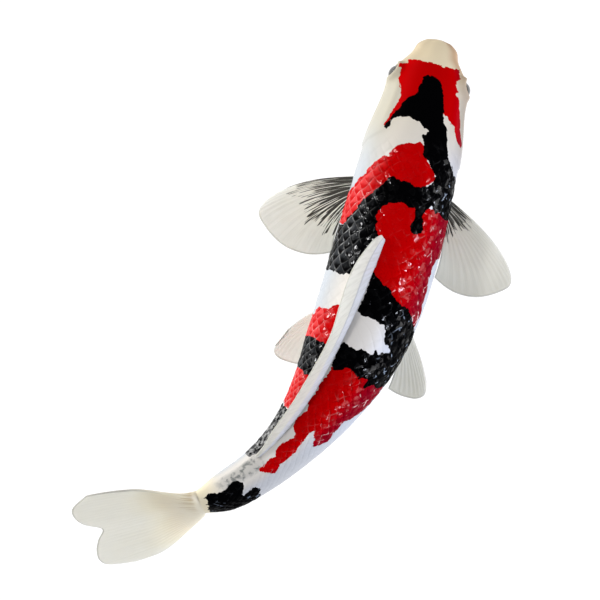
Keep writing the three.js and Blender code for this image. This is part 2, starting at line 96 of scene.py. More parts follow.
def hump(x, width):
    return np.exp(-((x / width) ** 2))


def smooth_line(knots, heights, x):
    """A smooth curve through the knots."""
    i = np.clip(np.searchsorted(knots, x) - 1, 0, len(knots) - 2)
    last = len(knots) - 1
    before, after = np.maximum(i - 1, 0), np.minimum(i + 2, last)
    slope_in = (heights[i + 1] - heights[before]) / (knots[i + 1] - knots[before])
    slope_out = (heights[after] - heights[i]) / (knots[after] - knots[i])
    span = knots[i + 1] - knots[i]
    u = np.clip((x - knots[i]) / span, 0, 1)
    v = 1 - u
    level_part = heights[i] * v * v * (1 + 2 * u) + heights[i + 1] * u * u * (3 - 2 * u)
    return level_part + span * u * v * (slope_in * v - slope_out * u)


def heading(t):
    """How far the spine has turned by a station from the nose, in radians."""
    past = np.maximum(0, np.minimum(t, BODY_LENGTH + BEND_INTO_TAIL) - BEND_START)
    eased = past * past / (2 * BEND_EASE * BEND_RADIUS)
    return np.where(past < BEND_EASE, eased, (past - BEND_EASE / 2) / BEND_RADIUS)


def roll_degrees(t):
    lean = TAIL_ROLL * np.maximum(0, t - ROLL_START) / (BODY_LENGTH - ROLL_START)
    return lean + TAIL_TWIST * ease(t, BODY_LENGTH, BODY_LENGTH + TAIL_LENGTH / 2)


SPINE_STEP = 0.25
spine_stations = np.arange(0, BODY_LENGTH + TAIL_LENGTH + 40, SPINE_STEP)
spine_turn = heading(spine_stations + SPINE_STEP / 2)
spine_x = np.concatenate([[0], np.cumsum(-np.sin(spine_turn) * SPINE_STEP)[:-1]])
spine_y = np.concatenate([[0], np.cumsum(-np.cos(spine_turn) * SPINE_STEP)[:-1]])
spine_x = spine_x - np.interp(PAD_STATION, spine_stations, spine_x)
spine_y = spine_y - np.interp(PAD_STATION, spine_stations, spine_y)


def frame_at(t):
    """At stations along the spine: its point, aft, level to the right, and the rolled right and ridge."""
    t = np.asarray(t, float)
    turn, roll = heading(t), np.radians(roll_degrees(t))
    height = AXIS_HEIGHT - NOSE_DROP * fade(t, 0, HEAD_LENGTH)
    height = height + TAIL_RISE * ease(t, RISE_START, BODY_LENGTH + TAIL_LENGTH)
    x, y = np.interp(t, spine_stations, spine_x), np.interp(t, spine_stations, spine_y)
    origin = np.stack([x, y, height], -1)
    nought = np.zeros_like(t)
    aft = np.stack([-np.sin(turn), -np.cos(turn), nought], -1)
    level = np.stack([np.cos(turn), -np.sin(turn), nought], -1)
    c, s = np.cos(roll)[..., None], np.sin(roll)[..., None]
    return origin, aft, level, level * c + UP * s, UP * c - level * s


def section_at(t):
    x = np.sqrt(np.clip(t / BODY_LENGTH, 0, 1))
    knots = np.sqrt(BODY_LINES[:, 0])
    shares = [smooth_line(knots, BODY_LINES[:, column], x) for column in (1, 2, 3)]
    return BODY_WIDTH / 2 * shares[0], BACK_HEIGHT * shares[1], BELLY_DEPTH * shares[2]


def skin(t, girth):
    """The body's smooth skin in mm, at a station from the nose and a girth in degrees from the ridge."""
    t, girth = np.broadcast_arrays(np.asarray(t, float), np.asarray(girth, float))
    origin, _, _, right, ridge = frame_at(t)
    half, back, belly = section_at(t)
    sine, cosine = np.sin(np.radians(girth)), np.cos(np.radians(girth))
    sine = np.sign(sine) * np.abs(sine) ** (2 / SECTION_FULLNESS)
    cosine = np.sign(cosine) * np.abs(cosine) ** (2 / SECTION_FULLNESS)
    points = origin + right * (half * sine)[..., None]
    points = points + ridge * (np.where(cosine > 0, back, belly) * cosine)[..., None]
    points[..., 2] = np.maximum(points[..., 2], BELLY_FLOOR)
    return points


def unit(vectors):
    return vectors / np.maximum(np.linalg.norm(vectors, axis=-1, keepdims=True), 1e-9)


NORMAL_STEP = 0.2
NORMAL_TURN = 0.4
NORMAL_MARGIN = 0.3


def skin_normal(t, girth):
    t = np.clip(t, NORMAL_MARGIN, BODY_LENGTH - NORMAL_MARGIN)
    along = skin(t + NORMAL_STEP, girth) - skin(t - NORMAL_STEP, girth)
    around = skin(t, girth + NORMAL_TURN) - skin(t, girth - NORMAL_TURN)
    return unit(np.cross(along, around))


# Cast relief. The scales lie like roof tiles in staggered rings, each a rounded diamond, some nearly flat.
SCALES_AROUND = 24
SCALE_LENGTH = 7.2
SCALE_EDGE_POWER = 1.5
SCALE_SWELL = 0.38
SCALE_LEAN = 0.24
SCALE_LAP = 0.14
GROOVE_DEPTH = 0.12
GROOVE_REACH = 0.6
RING_STEP = 0.5
ring_stations = np.arange(0, BODY_LENGTH + 1, RING_STEP)
ring_half, ring_back, ring_belly = section_at(ring_stations)
girth_length = math.pi * (ring_half + (ring_back + ring_belly) / 2)
scale_size = (girth_length / girth_length.max()) ** 0.7
ring_count = np.cumsum(RING_STEP / (SCALE_LENGTH / 2 * np.maximum(scale_size, 0.3)))


def degree_length(t):
    """The length in mm of one degree of girth."""
    return np.interp(t, ring_stations, girth_length) / 360


def scale_place(t, girth):
    """Where points lie among the scales: rings counted from the nose, and lanes round from the ridge."""
    turn = np.radians(girth)
    ring = np.interp(t, ring_stations, ring_count)
    ring = ring + 0.12 * np.sin(5 * turn + t * 0.11) + 0.07 * np.sin(11 * turn - t * 0.23)
    lane = girth / 360 * SCALES_AROUND
    return ring, lane + 0.09 * np.sin(t * 0.31 + 4 * turn) + 0.05 * np.sin(t * 0.83)


def scale_strength(t, girth):
    """How fully the scales are cast: not on the head, faintly along the ridge and the keel."""
    strength = ease(t - gill_edge(girth), 0, 12) * (1 - 0.75 * ease(t, 258, 271))
    from_ridge = np.where(girth > 0, girth - 12, -girth)
    return strength * (0.2 + 0.8 * ease(from_ridge, 2, 26)) * (1 - 0.7 * ease(np.abs(girth), 115, 150))


def scales(t, girth):
    """Height in mm of the scales, each scale's own chance, and the share from its front to its free edge."""
    ring, around = scale_place(t, girth)
    i = np.floor(ring)
    off = 2 * np.abs(around + 0.5 * np.mod(i, 2) - np.round(around + 0.5 * np.mod(i, 2)))
    i = np.where(ring - i <= 1 - off ** SCALE_EDGE_POWER, i, i + 1)
    lane = around + 0.5 * np.mod(i, 2)
    j = np.round(lane)
    aside = np.clip(2 * (lane - j), -0.999, 0.999)
    off = np.abs(aside)
    front = -((1 - off) ** SCALE_EDGE_POWER)
    free = 1 - off ** SCALE_EDGE_POWER
    share = np.clip((ring - i - front) / (free - front), 0, 1)
    chance = np.mod(np.sin(i * 12.9898 + np.mod(j, SCALES_AROUND) * 78.233) * 43758.5453, 1)
    size = np.interp(t, ring_stations, scale_size)
    lean = (np.mod(chance * 7, 1) - 0.5) * aside + (np.mod(chance * 13, 1) - 0.5) * (2 * share - 1)
    dome = (1 - aside ** 4) * (1 - (2 * share - 1) ** 4)
    plate = SCALE_SWELL * (0.5 + np.mod(chance * 5, 1)) * dome + SCALE_LEAN * lean + SCALE_LAP * share
    from_edge = np.minimum(share, 1 - share) * (free - front) * SCALE_LENGTH / 2 * size
    height = plate * size - GROOVE_DEPTH * hump(from_edge, GROOVE_REACH)
    return height, chance, share


# Head relief. The gill cover ends in a low free edge, the eye sits in a rimmed socket, the mouth is a groove.
GILL_STATIONS = np.array([49.0, 50.0, 56.0, 61.0, 61.0, 55.0, 46.0])
GILL_GIRTHS = np.array([0.0, 28.0, 55.0, 80.0, 105.0, 135.0, 180.0])
GILL_STEP = 0.55
EYE_STATION = 22.0
EYE_ANGLE = 76.0
EYE_DIAMETER = 8.4
EYE_POCKET_DEPTH = 2.2
SOCKET_SWELL = 1.9
SOCKET_SPREAD = 7.5
LID_HEIGHT = 2.0
LID_RADIUS = 5.3
LID_WIDTH = 1.5
EYE_RING = 4.3
MOUTH_REACH = 11.0


def gill_edge(girth):
    return np.interp(np.abs(girth), GILL_GIRTHS, GILL_STATIONS)


def eye_distance(points):
    """Distance in mm from the axis of the nearer eye, and the share of it that is towards the ridge."""
    nearest = np.full(len(points), 99.0)
    rise = np.zeros(len(points))
    for side in (-1, 1):
        axis = skin_normal(EYE_STATION, side * EYE_ANGLE)
        upwards = unit(skin(EYE_STATION, side * (EYE_ANGLE - 2)) - skin(EYE_STATION, side * EYE_ANGLE))
        away = points - skin(EYE_STATION, side * EYE_ANGLE)
        radius = np.linalg.norm(away - (away @ axis)[:, None] * axis, axis=1)
        nearer = (np.linalg.norm(away, axis=1) < 3 * EYE_DIAMETER) & (radius < nearest)
        nearest = np.where(nearer, radius, nearest)
        rise = np.where(nearer, (away @ upwards) / np.maximum(radius, 0.1), rise)
    return nearest, rise


def head_relief(t, girth, points):
    side_share = ease(np.abs(girth), 22, 60)
    ahead = gill_edge(girth) - t
    cover = GILL_STEP * side_share * ease(ahead, -1.2, 0.3) * np.exp(-np.maximum(ahead, 0) / 9)
    from_mouth = (np.abs(girth) - SEAM_ANGLE) * degree_length(t)
    shut = fade(t, MOUTH_REACH - 4, MOUTH_REACH)
    lips = 0.45 * hump(np.abs(from_mouth) - 1.5, 0.9) - 0.8 * hump(from_mouth, 0.55)
    relief = cover + lips * shut * ease(t, 0, 1.5)
    cheek = 0.5 * hump(np.abs(girth) - 46, 7) * ease(t, 24, 32) * fade(t, 44, 56)
    relief = relief + cheek
    radius, rise = eye_distance(points)
    lid = LID_HEIGHT * hump(radius - LID_RADIUS, LID_WIDTH) * ease(rise, -0.2, 0.7)
    pocket = fade(radius, EYE_DIAMETER / 2 + 0.1, EYE_DIAMETER / 2 + 0.75)
    relief = relief + SOCKET_SWELL * hump(radius, SOCKET_SPREAD) + lid
    relief = relief * (1 - pocket) - (EYE_POCKET_DEPTH + 0.1) * pocket
    return relief


# Painted patches, each an outline of stations in mm and girths in degrees, left of the ridge below zero.
RED_PATCHES = {
    "cap": [
        (14.6, -56), (14.2, -48), (14, -40), (13.6, -30), (13.8, -20), (13.3, -8), (14, 0), (14, 20),
        (13.6, 40), (13.3, 55), (13.2, 62), (14, 60), (15, 55), (18, 51), (19.5, 46), (20, 42), (22, 42),
        (24, 46), (25, 48), (26.5, 43), (28, 49), (30, 52), (33, 52), (34.5, 57), (38, 58), (40, 60),
        (43, 60), (46, 65), (50, 73), (51, 70), (51, 66), (50, 60), (48.5, 53), (47, 50), (45, 47),
        (43, 45), (42, 39), (41, 36), (39, 31), (38, 26), (37, 0), (38, -22), (42, -29), (46, -33),
        (50, -38), (50, -43), (45, -40), (40, -38), (38, -37), (35, -34), (33, -37), (30, -39), (28, -43),
        (25.5, -50), (23, -49), (21, -51), (20, -56), (18.5, -56), (16.5, -50), (15.4, -55),
    ],
    "shoulder": [
        (54.3, 4), (56, 0), (56.5, -6), (58, -12), (60, -17), (62, -21), (64, -23), (65, -22), (66, -30),
        (68, -33), (69.5, -39), (72, -42), (74, -46), (76, -45), (77.5, -53), (79, -60), (80, -59),
        (83, -66), (85, -74), (88, -80), (90, -79), (95, -85), (102, -90), (103, -58), (99, -45),
        (88, -20), (78, 20), (71, 37), (61, 16), (57.5, 13), (55.5, 10),
    ],
    "saddle": [
        (84, -16), (100, -18), (105, -9), (106, -3), (115, -3), (126, -3), (135, 20), (140, 50),
        (143, 77), (141, 82), (137, 84), (133, 84), (130, 80), (126, 78), (122, 79), (120, 74), (117, 72),
        (115, 74), (112, 73), (110, 75), (107, 80), (107, 92), (104, 104), (95, 112), (86, 110), (85, 36),
    ],
    "loin": [
        (170, 70), (170, 88), (175, 96), (181, 95), (187, 88), (191, 78), (193, 70), (195, 67), (199, 69),
        (201, 70), (203, 75), (205.5, 78), (207, 73), (209, 68), (211, 62), (211.3, 58), (210, 54),
        (208.5, 49), (207.5, 43), (206, 38), (205, 36), (207, 32), (210, 33), (213, 34), (216, 38),
        (219, 41), (224, 42), (227, 41), (230, 47), (233, 50), (234.5, 46), (235, 38), (236.5, 30),
        (238, 23), (237.5, 19), (235.5, 20), (234.5, 18), (232, 15), (229, 15), (227.5, 18), (226.5, 14),
        (225, 8), (222, 9), (219, 9), (217, 12), (214, 17), (213, 16), (212, 10), (211, 5), (210.5, 1),
        (209, -1), (205, -2), (202, 0), (200.5, 2), (199, 4), (197, 2), (195.5, -3), (194, -5), (190, -4),
        (188, -1), (185, -1), (182, 0), (173, 1), (168, 14), (168, 50),
    ],
    "left_flank": [
        (143, -22), (145, -28), (147, -32), (147, -36), (148, -45), (148, -52), (150, -58), (152, -56),
        (153, -62), (153, -75), (152.5, -85), (150, -93), (149, -104), (156, -112), (163, -106),
        (167, -80), (166, -50), (165, -6), (150, -6), (145, -12), (143, -18),
    ],
    "left_loin": [
        (183, -7), (182, -60), (183, -100), (190, -108), (199, -106), (204, -98), (205, -92), (205, -80),
        (203.5, -70), (203.5, -55), (205, -45), (204.5, -18), (190, -9),
    ],
}
BLACK_PATCHES = {
    "crown_and_girdle": [
        (20.3, 0), (20.7, -5), (22, -9), (25, -10), (27, -13), (30, -14), (32, -16), (34, -22), (36, -25),
        (38, -28), (40, -31), (41.5, -33), (45, -36), (51, -40), (51.5, -37), (46, -31), (44.5, -25),
        (44, -18), (43.6, -13), (44.5, -6), (45, 0), (47, 4), (48.5, 10), (50.5, 9), (51, 5), (53, 7),
        (55.5, 9), (60, 12), (62, 16), (64, 21), (66, 25), (67, 30), (69.5, 34), (72, 33), (74.5, 28),
        (76.5, 20), (76.8, 14), (75.5, 6), (76, 0), (75.5, -6), (74.5, -11), (77, -17), (80, -20),
        (83, -25), (86, -31), (89, -36), (92, -40), (95, -45), (97, -48), (99, -53), (103, -58),
        (102.5, -75), (102, -92), (106, -104), (114, -109), (121, -111), (127, -106), (128, -95),
        (127.5, -80), (128, -65), (127.5, -58), (126.5, -50), (127.5, -45), (128, -35), (126, -8),
        (112, -5), (105, -5), (104, -6), (102, -9), (100, -12), (97, -12), (95, -14), (92, -13),
        (90, -11), (88, -6), (87.5, -1), (86, 5), (86.5, 10), (87.5, 14), (87, 20), (89, 23), (93, 24),
        (95, 22), (97, 23), (99.5, 26), (99, 31), (98, 37), (96, 38), (93, 34), (90, 32), (88, 33),
        (86, 36), (84, 40), (87, 48), (86, 54), (86, 58), (87.5, 64), (88, 72), (88, 80), (88, 98),
        (83, 110), (73, 112), (66, 104), (67, 90), (67, 80), (66, 72), (65.5, 66), (64, 63), (62, 56),
        (60, 47), (58, 43), (56, 44), (53, 40), (50, 38), (47, 36), (44, 33), (42.5, 28), (40, 27),
        (38, 25), (36, 25), (33, 23), (30, 22), (27, 19), (24, 15), (22, 12), (20.5, 7),
    ],
    "saddle_hook": [
        (122.5, 1), (126, 0.5), (130, 0), (133, -2), (136, -2), (138, 0), (140, -1), (143, 0), (143.8, 5),
        (143.5, 12), (144, 17), (143.5, 22), (145, 27), (144.5, 33), (147, 37), (149, 39), (151, 41),
        (153, 46), (154, 53), (155.5, 58), (156.5, 53), (157, 48), (158.5, 47), (159, 42), (157.5, 38),
        (160, 37), (160.5, 33), (159.5, 29), (159.5, 22), (160.5, 19), (161, 17), (160.5, 12), (161.5, 8),
        (160, 4), (159.5, 1), (161.5, -2), (163, -1), (168, -1), (173, 0), (174.5, 4), (174, 10),
        (172, 14), (170.5, 17), (170.5, 23), (171.5, 28), (172.5, 33), (172.5, 38), (171.5, 43),
        (171, 49), (173, 52), (175, 51), (175.5, 55), (173.5, 59), (172, 63), (173, 68), (173, 78),
        (171, 92), (164, 104), (154, 106), (146, 100), (142, 88), (140, 76), (138, 68), (136, 63),
        (135, 58), (134, 52), (133.5, 46), (133, 40), (131.5, 34), (130, 29), (128.5, 24), (127.5, 18),
        (127, 13), (125.5, 10), (124.5, 6),
    ],
    "tail_stalk": [
        (249, 20), (250, 12), (252, 9), (254, 11), (256, 15), (258, 20), (259.5, 18), (262, 19),
        (263, 14), (265, 12), (266.5, 9), (268, 13), (269, 20), (268.5, 30), (268, 40), (268.5, 45),
        (269.5, 52), (269, 60), (269, 70), (269.8, 80), (270, 105), (258, 118), (246, 105), (245, 85),
        (244.5, 78), (243.5, 70), (243.5, 64), (244.5, 56), (245.5, 50), (247, 53), (249.5, 56),
        (251.5, 59), (251.5, 53), (250.5, 46), (249.5, 40), (248.5, 32), (248.5, 25),
    ],
    "left_flank": [
        (164, -6), (164.5, -30), (164, -42), (165, -55), (166, -70), (165, -85), (164, -104), (172, -112),
        (181, -106), (183.5, -85), (183.5, -65), (183, -50), (183, -40), (184.5, -32), (183, -8),
        (172, -6),
    ],
    "left_loin": [
        (205, -15), (205, -45), (204.5, -60), (205, -80), (206, -92), (208, -104), (220, -112),
        (234, -108), (239, -98), (238.5, -80), (238.5, -60), (239, -40), (238, -22), (233, -14),
        (220, -12),
    ],
}
DORSAL_STATION = 105.0
DORSAL_BASE = 129.0
DORSAL_GIRTH_AFT = -6.0
WHITE_STRIP = 0.8
WHITE_CRISP = 0.35
PAINT_REACH = 8.0


def depth_inside(outline, t, girth, millimetres):
    """Distance in mm along the skin from each point to an outline, above zero inside it."""
    nearest = np.full(len(t), 99.0)
    inside = np.zeros(len(t), bool)
    for (t0, g0), (t1, g1) in zip(outline, outline[1:] + outline[:1]):
        along, across = t1 - t0, (g1 - g0) * millimetres
        past, beside = t - t0, (girth - g0) * millimetres
        share = np.clip((past * along + beside * across) / (along * along + across * across + 1e-9), 0, 1)
        nearest = np.minimum(nearest, np.hypot(past - share * along, beside - share * across))
        if g0 != g1:
            spans = (g0 > girth) != (g1 > girth)
            inside ^= spans & (t < t0 + (girth - g0) / (g1 - g0) * (t1 - t0))
    return np.where(inside, nearest, -nearest)


def painted(patches, t, girth):
    depths = [depth_inside(outline, t, girth, degree_length(t)) for outline in patches.values()]
    return np.maximum(np.max(depths, axis=0), -PAINT_REACH)


def fin_margin(t, girth):
    """Distance in mm past the strip on the right of the back fin that the brush leaves white."""
    foot = DORSAL_GIRTH_AFT * (t - DORSAL_STATION) / DORSAL_BASE
    beside = (girth - foot) * degree_length(t)
    ends = ease(t, DORSAL_STATION + 1, DORSAL_STATION + 5) * fade(t, 222, 234)
    margin = beside - WHITE_STRIP * ends + PAINT_REACH * (1 - ends)
    return np.where((ends > 0) & (beside > -0.5), margin, PAINT_REACH)


def dressed_skin(t, girth):
    """Points in mm of the cast skin, with the paint and relief that its finish reads."""
    points = skin(t, girth)
    margin = fin_margin(t, girth)
    red_depth = np.minimum(painted(RED_PATCHES, t, girth), margin)
    black_depth = np.minimum(painted(BLACK_PATCHES, t, girth), margin)
    coloured = ease(np.maximum(red_depth, black_depth), -1.5, 1)
    crisp = scale_strength(t, girth) * (WHITE_CRISP + (1 - WHITE_CRISP) * coloured)
    height, chance, share = scales(t, girth)
    relief = (height * crisp + head_relief(t, girth, points)) * ease(t, 0, 1.5)
    points = points + skin_normal(t, girth) * relief[:, None]
    points[:, 2] = np.maximum(points[:, 2], BELLY_FLOOR)
    eye_radius, eye_rise = eye_distance(skin(t, girth))
    values = {
        "red_depth": red_depth,
        "black_depth": black_depth,
        "eye_ring": EYE_RING + 0.7 * ease(-eye_rise, -0.1, 0.6) - eye_radius,
        # The flank and stalk-side shares also place painted shade and painted highlights.
        "left_flank": ease(-girth, 16, 48),
        "right_flank": ease(girth + 14 * fade(t, 9, 16), 32, 72),
        "stalk_side": ease(t, 190, 225) * ease(girth, 15, 40),
        "stalk_wash": ease(t, 230, 238) * fade(t, 254, 264) * fade(np.abs(girth - 2), 12, 26),
        "tail_cream": ease(t, 255, 269),
        "scale_chance": chance,
        "scale_share": share,
        "scale_strength": crisp,
        "worn": ease(t, 204, 209) * ease(-girth, 14, 22) * fade(-girth, 62, 82),
        "snout": 1 - ease(t, 9, 34) * (0.55 + 0.45 * ease(np.abs(girth), 20, 60)),
        "head": fade(t, 40, 78) * (0.45 + 0.55 * ease(np.abs(girth), 20, 50)),
    }
    return points, values


def seam_girth(t, side):
    return side * (SEAM_ANGLE + side * SEAM_FOLLOW * roll_degrees(t))


def shell_shape(from_girth, to_girth, outer_share, lift):
    """How a grid wraps into a half shell: over the outside between two girths, and back along the inside."""
    def shape(u, v):
        blunt = 0.02
        t = BODY_LENGTH * (np.hypot(u, blunt) - blunt) / (math.hypot(1, blunt) - blunt)
        outside = v <= outer_share
        share = np.where(outside, v / outer_share, (1 - v) / (1 - outer_share))
        girth = from_girth(t) + (to_girth(t) - from_girth(t)) * share
        wrapped = np.where(girth > 180, girth - 360, girth)
        points, values = dressed_skin(t, wrapped)
        values["ring"], values["lane"] = scale_place(t, girth)
        half = np.maximum(section_at(t)[0], 0.1)
        shrink = np.maximum(1 - (SHELL_WALL + 0.4) / half, 0.1)
        centre = frame_at(t)[0]
        inside = centre + (skin(t, wrapped) - centre) * shrink[:, None]
        points = np.where(outside[:, None], points, inside)
        points[:, 2] += lift * fade(t, 267, 271.5)
        return points, values
    return shape


def wrapped_grid(name, columns, rows, shape):
    """A grid laid over a shape that gives points in mm and their named values, closed where edges meet."""
    bm = bmesh.new()
    bmesh.ops.create_grid(bm, x_segments=columns, y_segments=rows, size=0.5)
    flat = np.array([vertex.co for vertex in bm.verts])
    flat = (flat - flat.min(0))[:, :2] / (flat.max(0) - flat.min(0))[:2]
    mesh = bpy.data.meshes.new(name)
    bm.to_mesh(mesh)
    bm.free()
    points, values = shape(flat[:, 0], flat[:, 1])
    mesh.vertices.foreach_set("co", (points / 1000).astype(np.float32).ravel())
    for label, numbers in values.items():
        attribute = mesh.attributes.new(label, "FLOAT", "POINT")
        attribute.data.foreach_set("value", np.asarray(numbers, np.float32))
    bm = bmesh.new()
    bm.from_mesh(mesh)
    bmesh.ops.remove_doubles(bm, verts=bm.verts, dist=1e-6)
    bmesh.ops.holes_fill(bm, edges=[edge for edge in bm.edges if edge.is_boundary], sides=0)
    return finished(name, bm, mesh)


def finished(name, bm, mesh=None, crease=50):
    """Turns a mesh's faces outwards, smooths it but for its creases, and puts it in the scene."""
    bmesh.ops.recalc_face_normals(bm, faces=bm.faces)
    for face in bm.faces:
        face.smooth = True
    for edge in bm.edges:
        edge.smooth = not edge.is_manifold or edge.calc_face_angle(0) < math.radians(crease)
    mesh = mesh or bpy.data.meshes.new(name)
    bm.to_mesh(mesh)
    bm.free()
    piece = bpy.data.objects.new(name, mesh)
    bpy.context.scene.collection.objects.link(piece)
    return piece


def linear(code):
    """An sRGB hex colour as linear red, green, blue and alpha."""
    parts = [int(code[i:i + 2], 16) / 255 for i in (1, 3, 5)]
    return [p / 12.92 if p <= 0.04045 else ((p + 0.055) / 1.055) ** 2.4 for p in parts] + [1.0]


def add(tree, kind, settings=None, inputs=None):
    """Adds a node with its settings, and links or sets its inputs."""
    made = tree.nodes.new(kind)
    for key, value in (settings or {}).items():
        setattr(made, key, value)
    for key, value in (inputs or {}).items():
        if isinstance(value, bpy.types.NodeSocket):
            tree.links.new(value, made.inputs[key])
        else:
            made.inputs[key].default_value = value
    return made


def new_material(name):
    material = bpy.data.materials.new(name)
    material.use_nodes = True
    material.node_tree.nodes.clear()
    return material, material.node_tree


def read_values(*labels):
    """Sockets that read the named values of a mesh."""
    nodes = {label: add(tree, "ShaderNodeAttribute", {"attribute_name": label}) for label in labels}
    return SimpleNamespace(**{label: node.outputs["Fac"] for label, node in nodes.items()})


def object_place():
    return add(tree, "ShaderNodeTexCoord").outputs["Object"]


def noise(grain, detail=2.0):
    """A soft random pattern with its grain in mm."""
    inputs = {"Vector": object_place(), "Scale": 1000 / grain, "Detail": detail}
    return add(tree, "ShaderNodeTexNoise", None, inputs).outputs["Fac"]


def work_out(operation, *operands):
    """A number worked out from sockets or plain numbers."""
    return add(tree, "ShaderNodeMath", {"operation": operation}, dict(enumerate(operands))).outputs[0]


def times(product, *factors):
    for factor in factors:
        product = work_out("MULTIPLY", product, factor)
    return product


def scaled(value, factor, offset):
    return work_out("MULTIPLY_ADD", value, factor, offset)


def rest_of(share):
    return work_out("SUBTRACT", 1.0, share)


def vector_work(operation, first, second):
    """What comes of working on two vectors."""
    return add(tree, "ShaderNodeVectorMath", {"operation": operation}, {0: first, 1: second}).outputs


def ramp(value, low, high, first=0.0, last=1.0, curve="LINEAR"):
    """A number that goes from first to last while a value goes from low to high."""
    ends = {0: value, 1: low, 2: high, 3: first, 4: last}
    return add(tree, "ShaderNodeMapRange", {"interpolation_type": curve}, ends).outputs[0]


def mixed(share, first, second):
    """One colour turning into another by a share, each a socket or a hex code."""
    ends = [linear(end) if isinstance(end, str) else end for end in (first, second)]
    return add(tree, "ShaderNodeMix", {"data_type": "RGBA"}, {0: share, 6: ends[0], 7: ends[1]}).outputs[2]


def layered(colour, *coats):
    """A colour under coats, each the share that it covers and its own colour."""
    for share, coat in coats:
        colour = mixed(share, colour, coat)
    return colour


def bumped(height, strength, distance, under=None, sunk=False):
    """Surface directions tipped by a height, raised or sunk, on top of others."""
    inputs = {"Height": height, "Strength": strength, "Distance": distance}
    if under is not None:
        inputs["Normal"] = under
    return add(tree, "ShaderNodeBump", {"invert": sunk}, inputs).outputs[0]


def surfaced(inputs):
    """Ends a material in one surface."""
    shader = add(tree, "ShaderNodeBsdfPrincipled", None, inputs)
    add(tree, "ShaderNodeOutputMaterial", None, {"Surface": shader.outputs[0]})


# Gloss enamel under varnish: even colour with brushed edges that catch on the scales, painted shade and
# painted highlights across the flanks and scales, and pools that glint.
enamel, tree = new_material("gloss_enamel_varnished")
read = read_values(
    "red_depth", "black_depth", "eye_ring", "scale_chance", "scale_share", "scale_strength", "ring", "lane",
    "snout", "head", "worn", "left_flank", "right_flank", "stalk_side", "stalk_wash", "tail_cream",
)

# The line between scales, drawn finely where the rings and lanes cross, from how near a point is to it in mm.
LINE_WIDTH = 0.55
LINE_SLANT = 2.2
stagger = times(work_out("MODULO", work_out("FLOOR", read.ring), 2.0), 0.5)
off_lane = times(work_out("PINGPONG", work_out("ADD", read.lane, stagger), 0.5), 2.0)
free_edge = rest_of(work_out("POWER", off_lane, SCALE_EDGE_POWER))
past_edge = work_out("ABSOLUTE", work_out("SUBTRACT", work_out("FRACT", read.ring), free_edge))
slant = work_out("SQRT", scaled(off_lane, LINE_SLANT, 1.0))
from_line = work_out("DIVIDE", times(past_edge, SCALE_LENGTH / 2), slant)
in_line = times(rest_of(ramp(from_line, 0.0, LINE_WIDTH, curve="SMOOTHSTEP")), read.scale_strength)

# How far each paint covers, its edge shifted by a fine grain and by each scale's own chance.
EDGE_GRAIN = 1.7
EDGE_SHIFT = 1.7
SCALE_SHIFT = 0.9
EDGE_SOFT = 0.12
shift = scaled(noise(EDGE_GRAIN), EDGE_SHIFT, -EDGE_SHIFT / 2)
shift = work_out("ADD", shift, scaled(read.scale_chance, SCALE_SHIFT, -SCALE_SHIFT / 2))
red_cover, black_cover = [
    ramp(work_out("ADD", depth, shift), -EDGE_SOFT, EDGE_SOFT, curve="SMOOTHSTEP")
    for depth in (read.red_depth, read.black_depth)
]

# Painted highlights: pale rims of the scales, in broken lines, fuller on the left flank and glinting on the
# right. On the left flank the fronts of the scales are painted lighter too, as if lit.
BREAK_GRAIN = 4.5
breaks = noise(BREAK_GRAIN)
unbroken = ramp(breaks, 0.5, 0.66)
rim_highlight = times(in_line, unbroken)
left_rim_highlight = times(scaled(unbroken, 0.75, 0.25), in_line, read.left_flank)
right_rim_glint = times(in_line, ramp(breaks, 0.57, 0.65), read.right_flank)
painted_lit_fronts = ramp(read.scale_share, 0.3, 0.72, 1.0, 0.0, "SMOOTHSTEP")
painted_lit_fronts = times(painted_lit_fronts, scaled(read.scale_chance, 0.7, 0.3), read.scale_strength, read.left_flank)

# White, painted greyer down the flanks and on the right of the stalk as shade, cream on the head and by the
# tail, greyer in a grain on top of the stalk.
TONE_GRAIN = 14.0
GREY_GRAIN = 2.2
# Painted shade in the lines between the scales.
GROOVE_SHADE = 0.09
tone = noise(TONE_GRAIN, 3.0)
patchy = ramp(noise(GREY_GRAIN, 3.0), 0.46, 0.62)
# Painted shade: the cream of the head and snout is darker down both sides than on top.
head_cream = mixed(read.right_flank, "#DFD8C8", "#ABA092")
tip_cream = mixed(read.right_flank, "#F6E5C2", "#CBAA88")
white = layered(
    mixed(tone, "#E5EAF6", "#DAE0EC"),
    (read.left_flank, "#C8CDD2"),
    (times(read.right_flank, 0.8), "#B0B3B9"),
    (times(read.stalk_side, 0.75), "#BCBCBB"),
    (read.head, mixed(read.left_flank, head_cream, "#CCC7B6")),
    (read.snout, mixed(read.left_flank, tip_cream, "#DCCBAB")),
    (read.tail_cream, "#EFE4C6"),
    (times(read.stalk_wash, scaled(patchy, 0.6, 0.4)), "#858784"),
    (times(in_line, GROOVE_SHADE), "#8C8A86"),
)

# Red, warmer on the left flank as a painted sheen and deeper on the right as painted shade, with painted
# highlights on the scales.
red = layered(
    mixed(tone, "#CC0003", "#B60002"),
    (read.head, "#D00003"),
    (times(read.left_flank, rest_of(read.head)), "#CC1A1C"),
    (painted_lit_fronts, "#F05656"),
    (times(read.right_flank, 0.95), "#80001A"),
    (scaled(right_rim_glint, 0.8, scaled(left_rim_highlight, 0.4, times(rim_highlight, 0.06))), "#FFD8D4"),
)

# Black, a little lighter on the left flank as painted sheen, worn bare on the left of the stalk, with painted
# highlights on the scales, and a black ring round each eye.
patchy = times(patchy, read.worn, scaled(in_line, -0.8, 0.9))
black = layered(
    mixed(read.left_flank, "#030304", "#09090A"),
    (painted_lit_fronts, "#3E4043"),
    (work_out("MAXIMUM", patchy, scaled(left_rim_highlight, 0.75, times(rim_highlight, 0.04))), "#B4B4B2"),
    (times(right_rim_glint, 0.95), "#A4B2C4"),
)
coloured = layered(
    white, (red_cover, red), (black_cover, black), (ramp(read.eye_ring, -0.15, 0.15), "#0B0B0C")
)

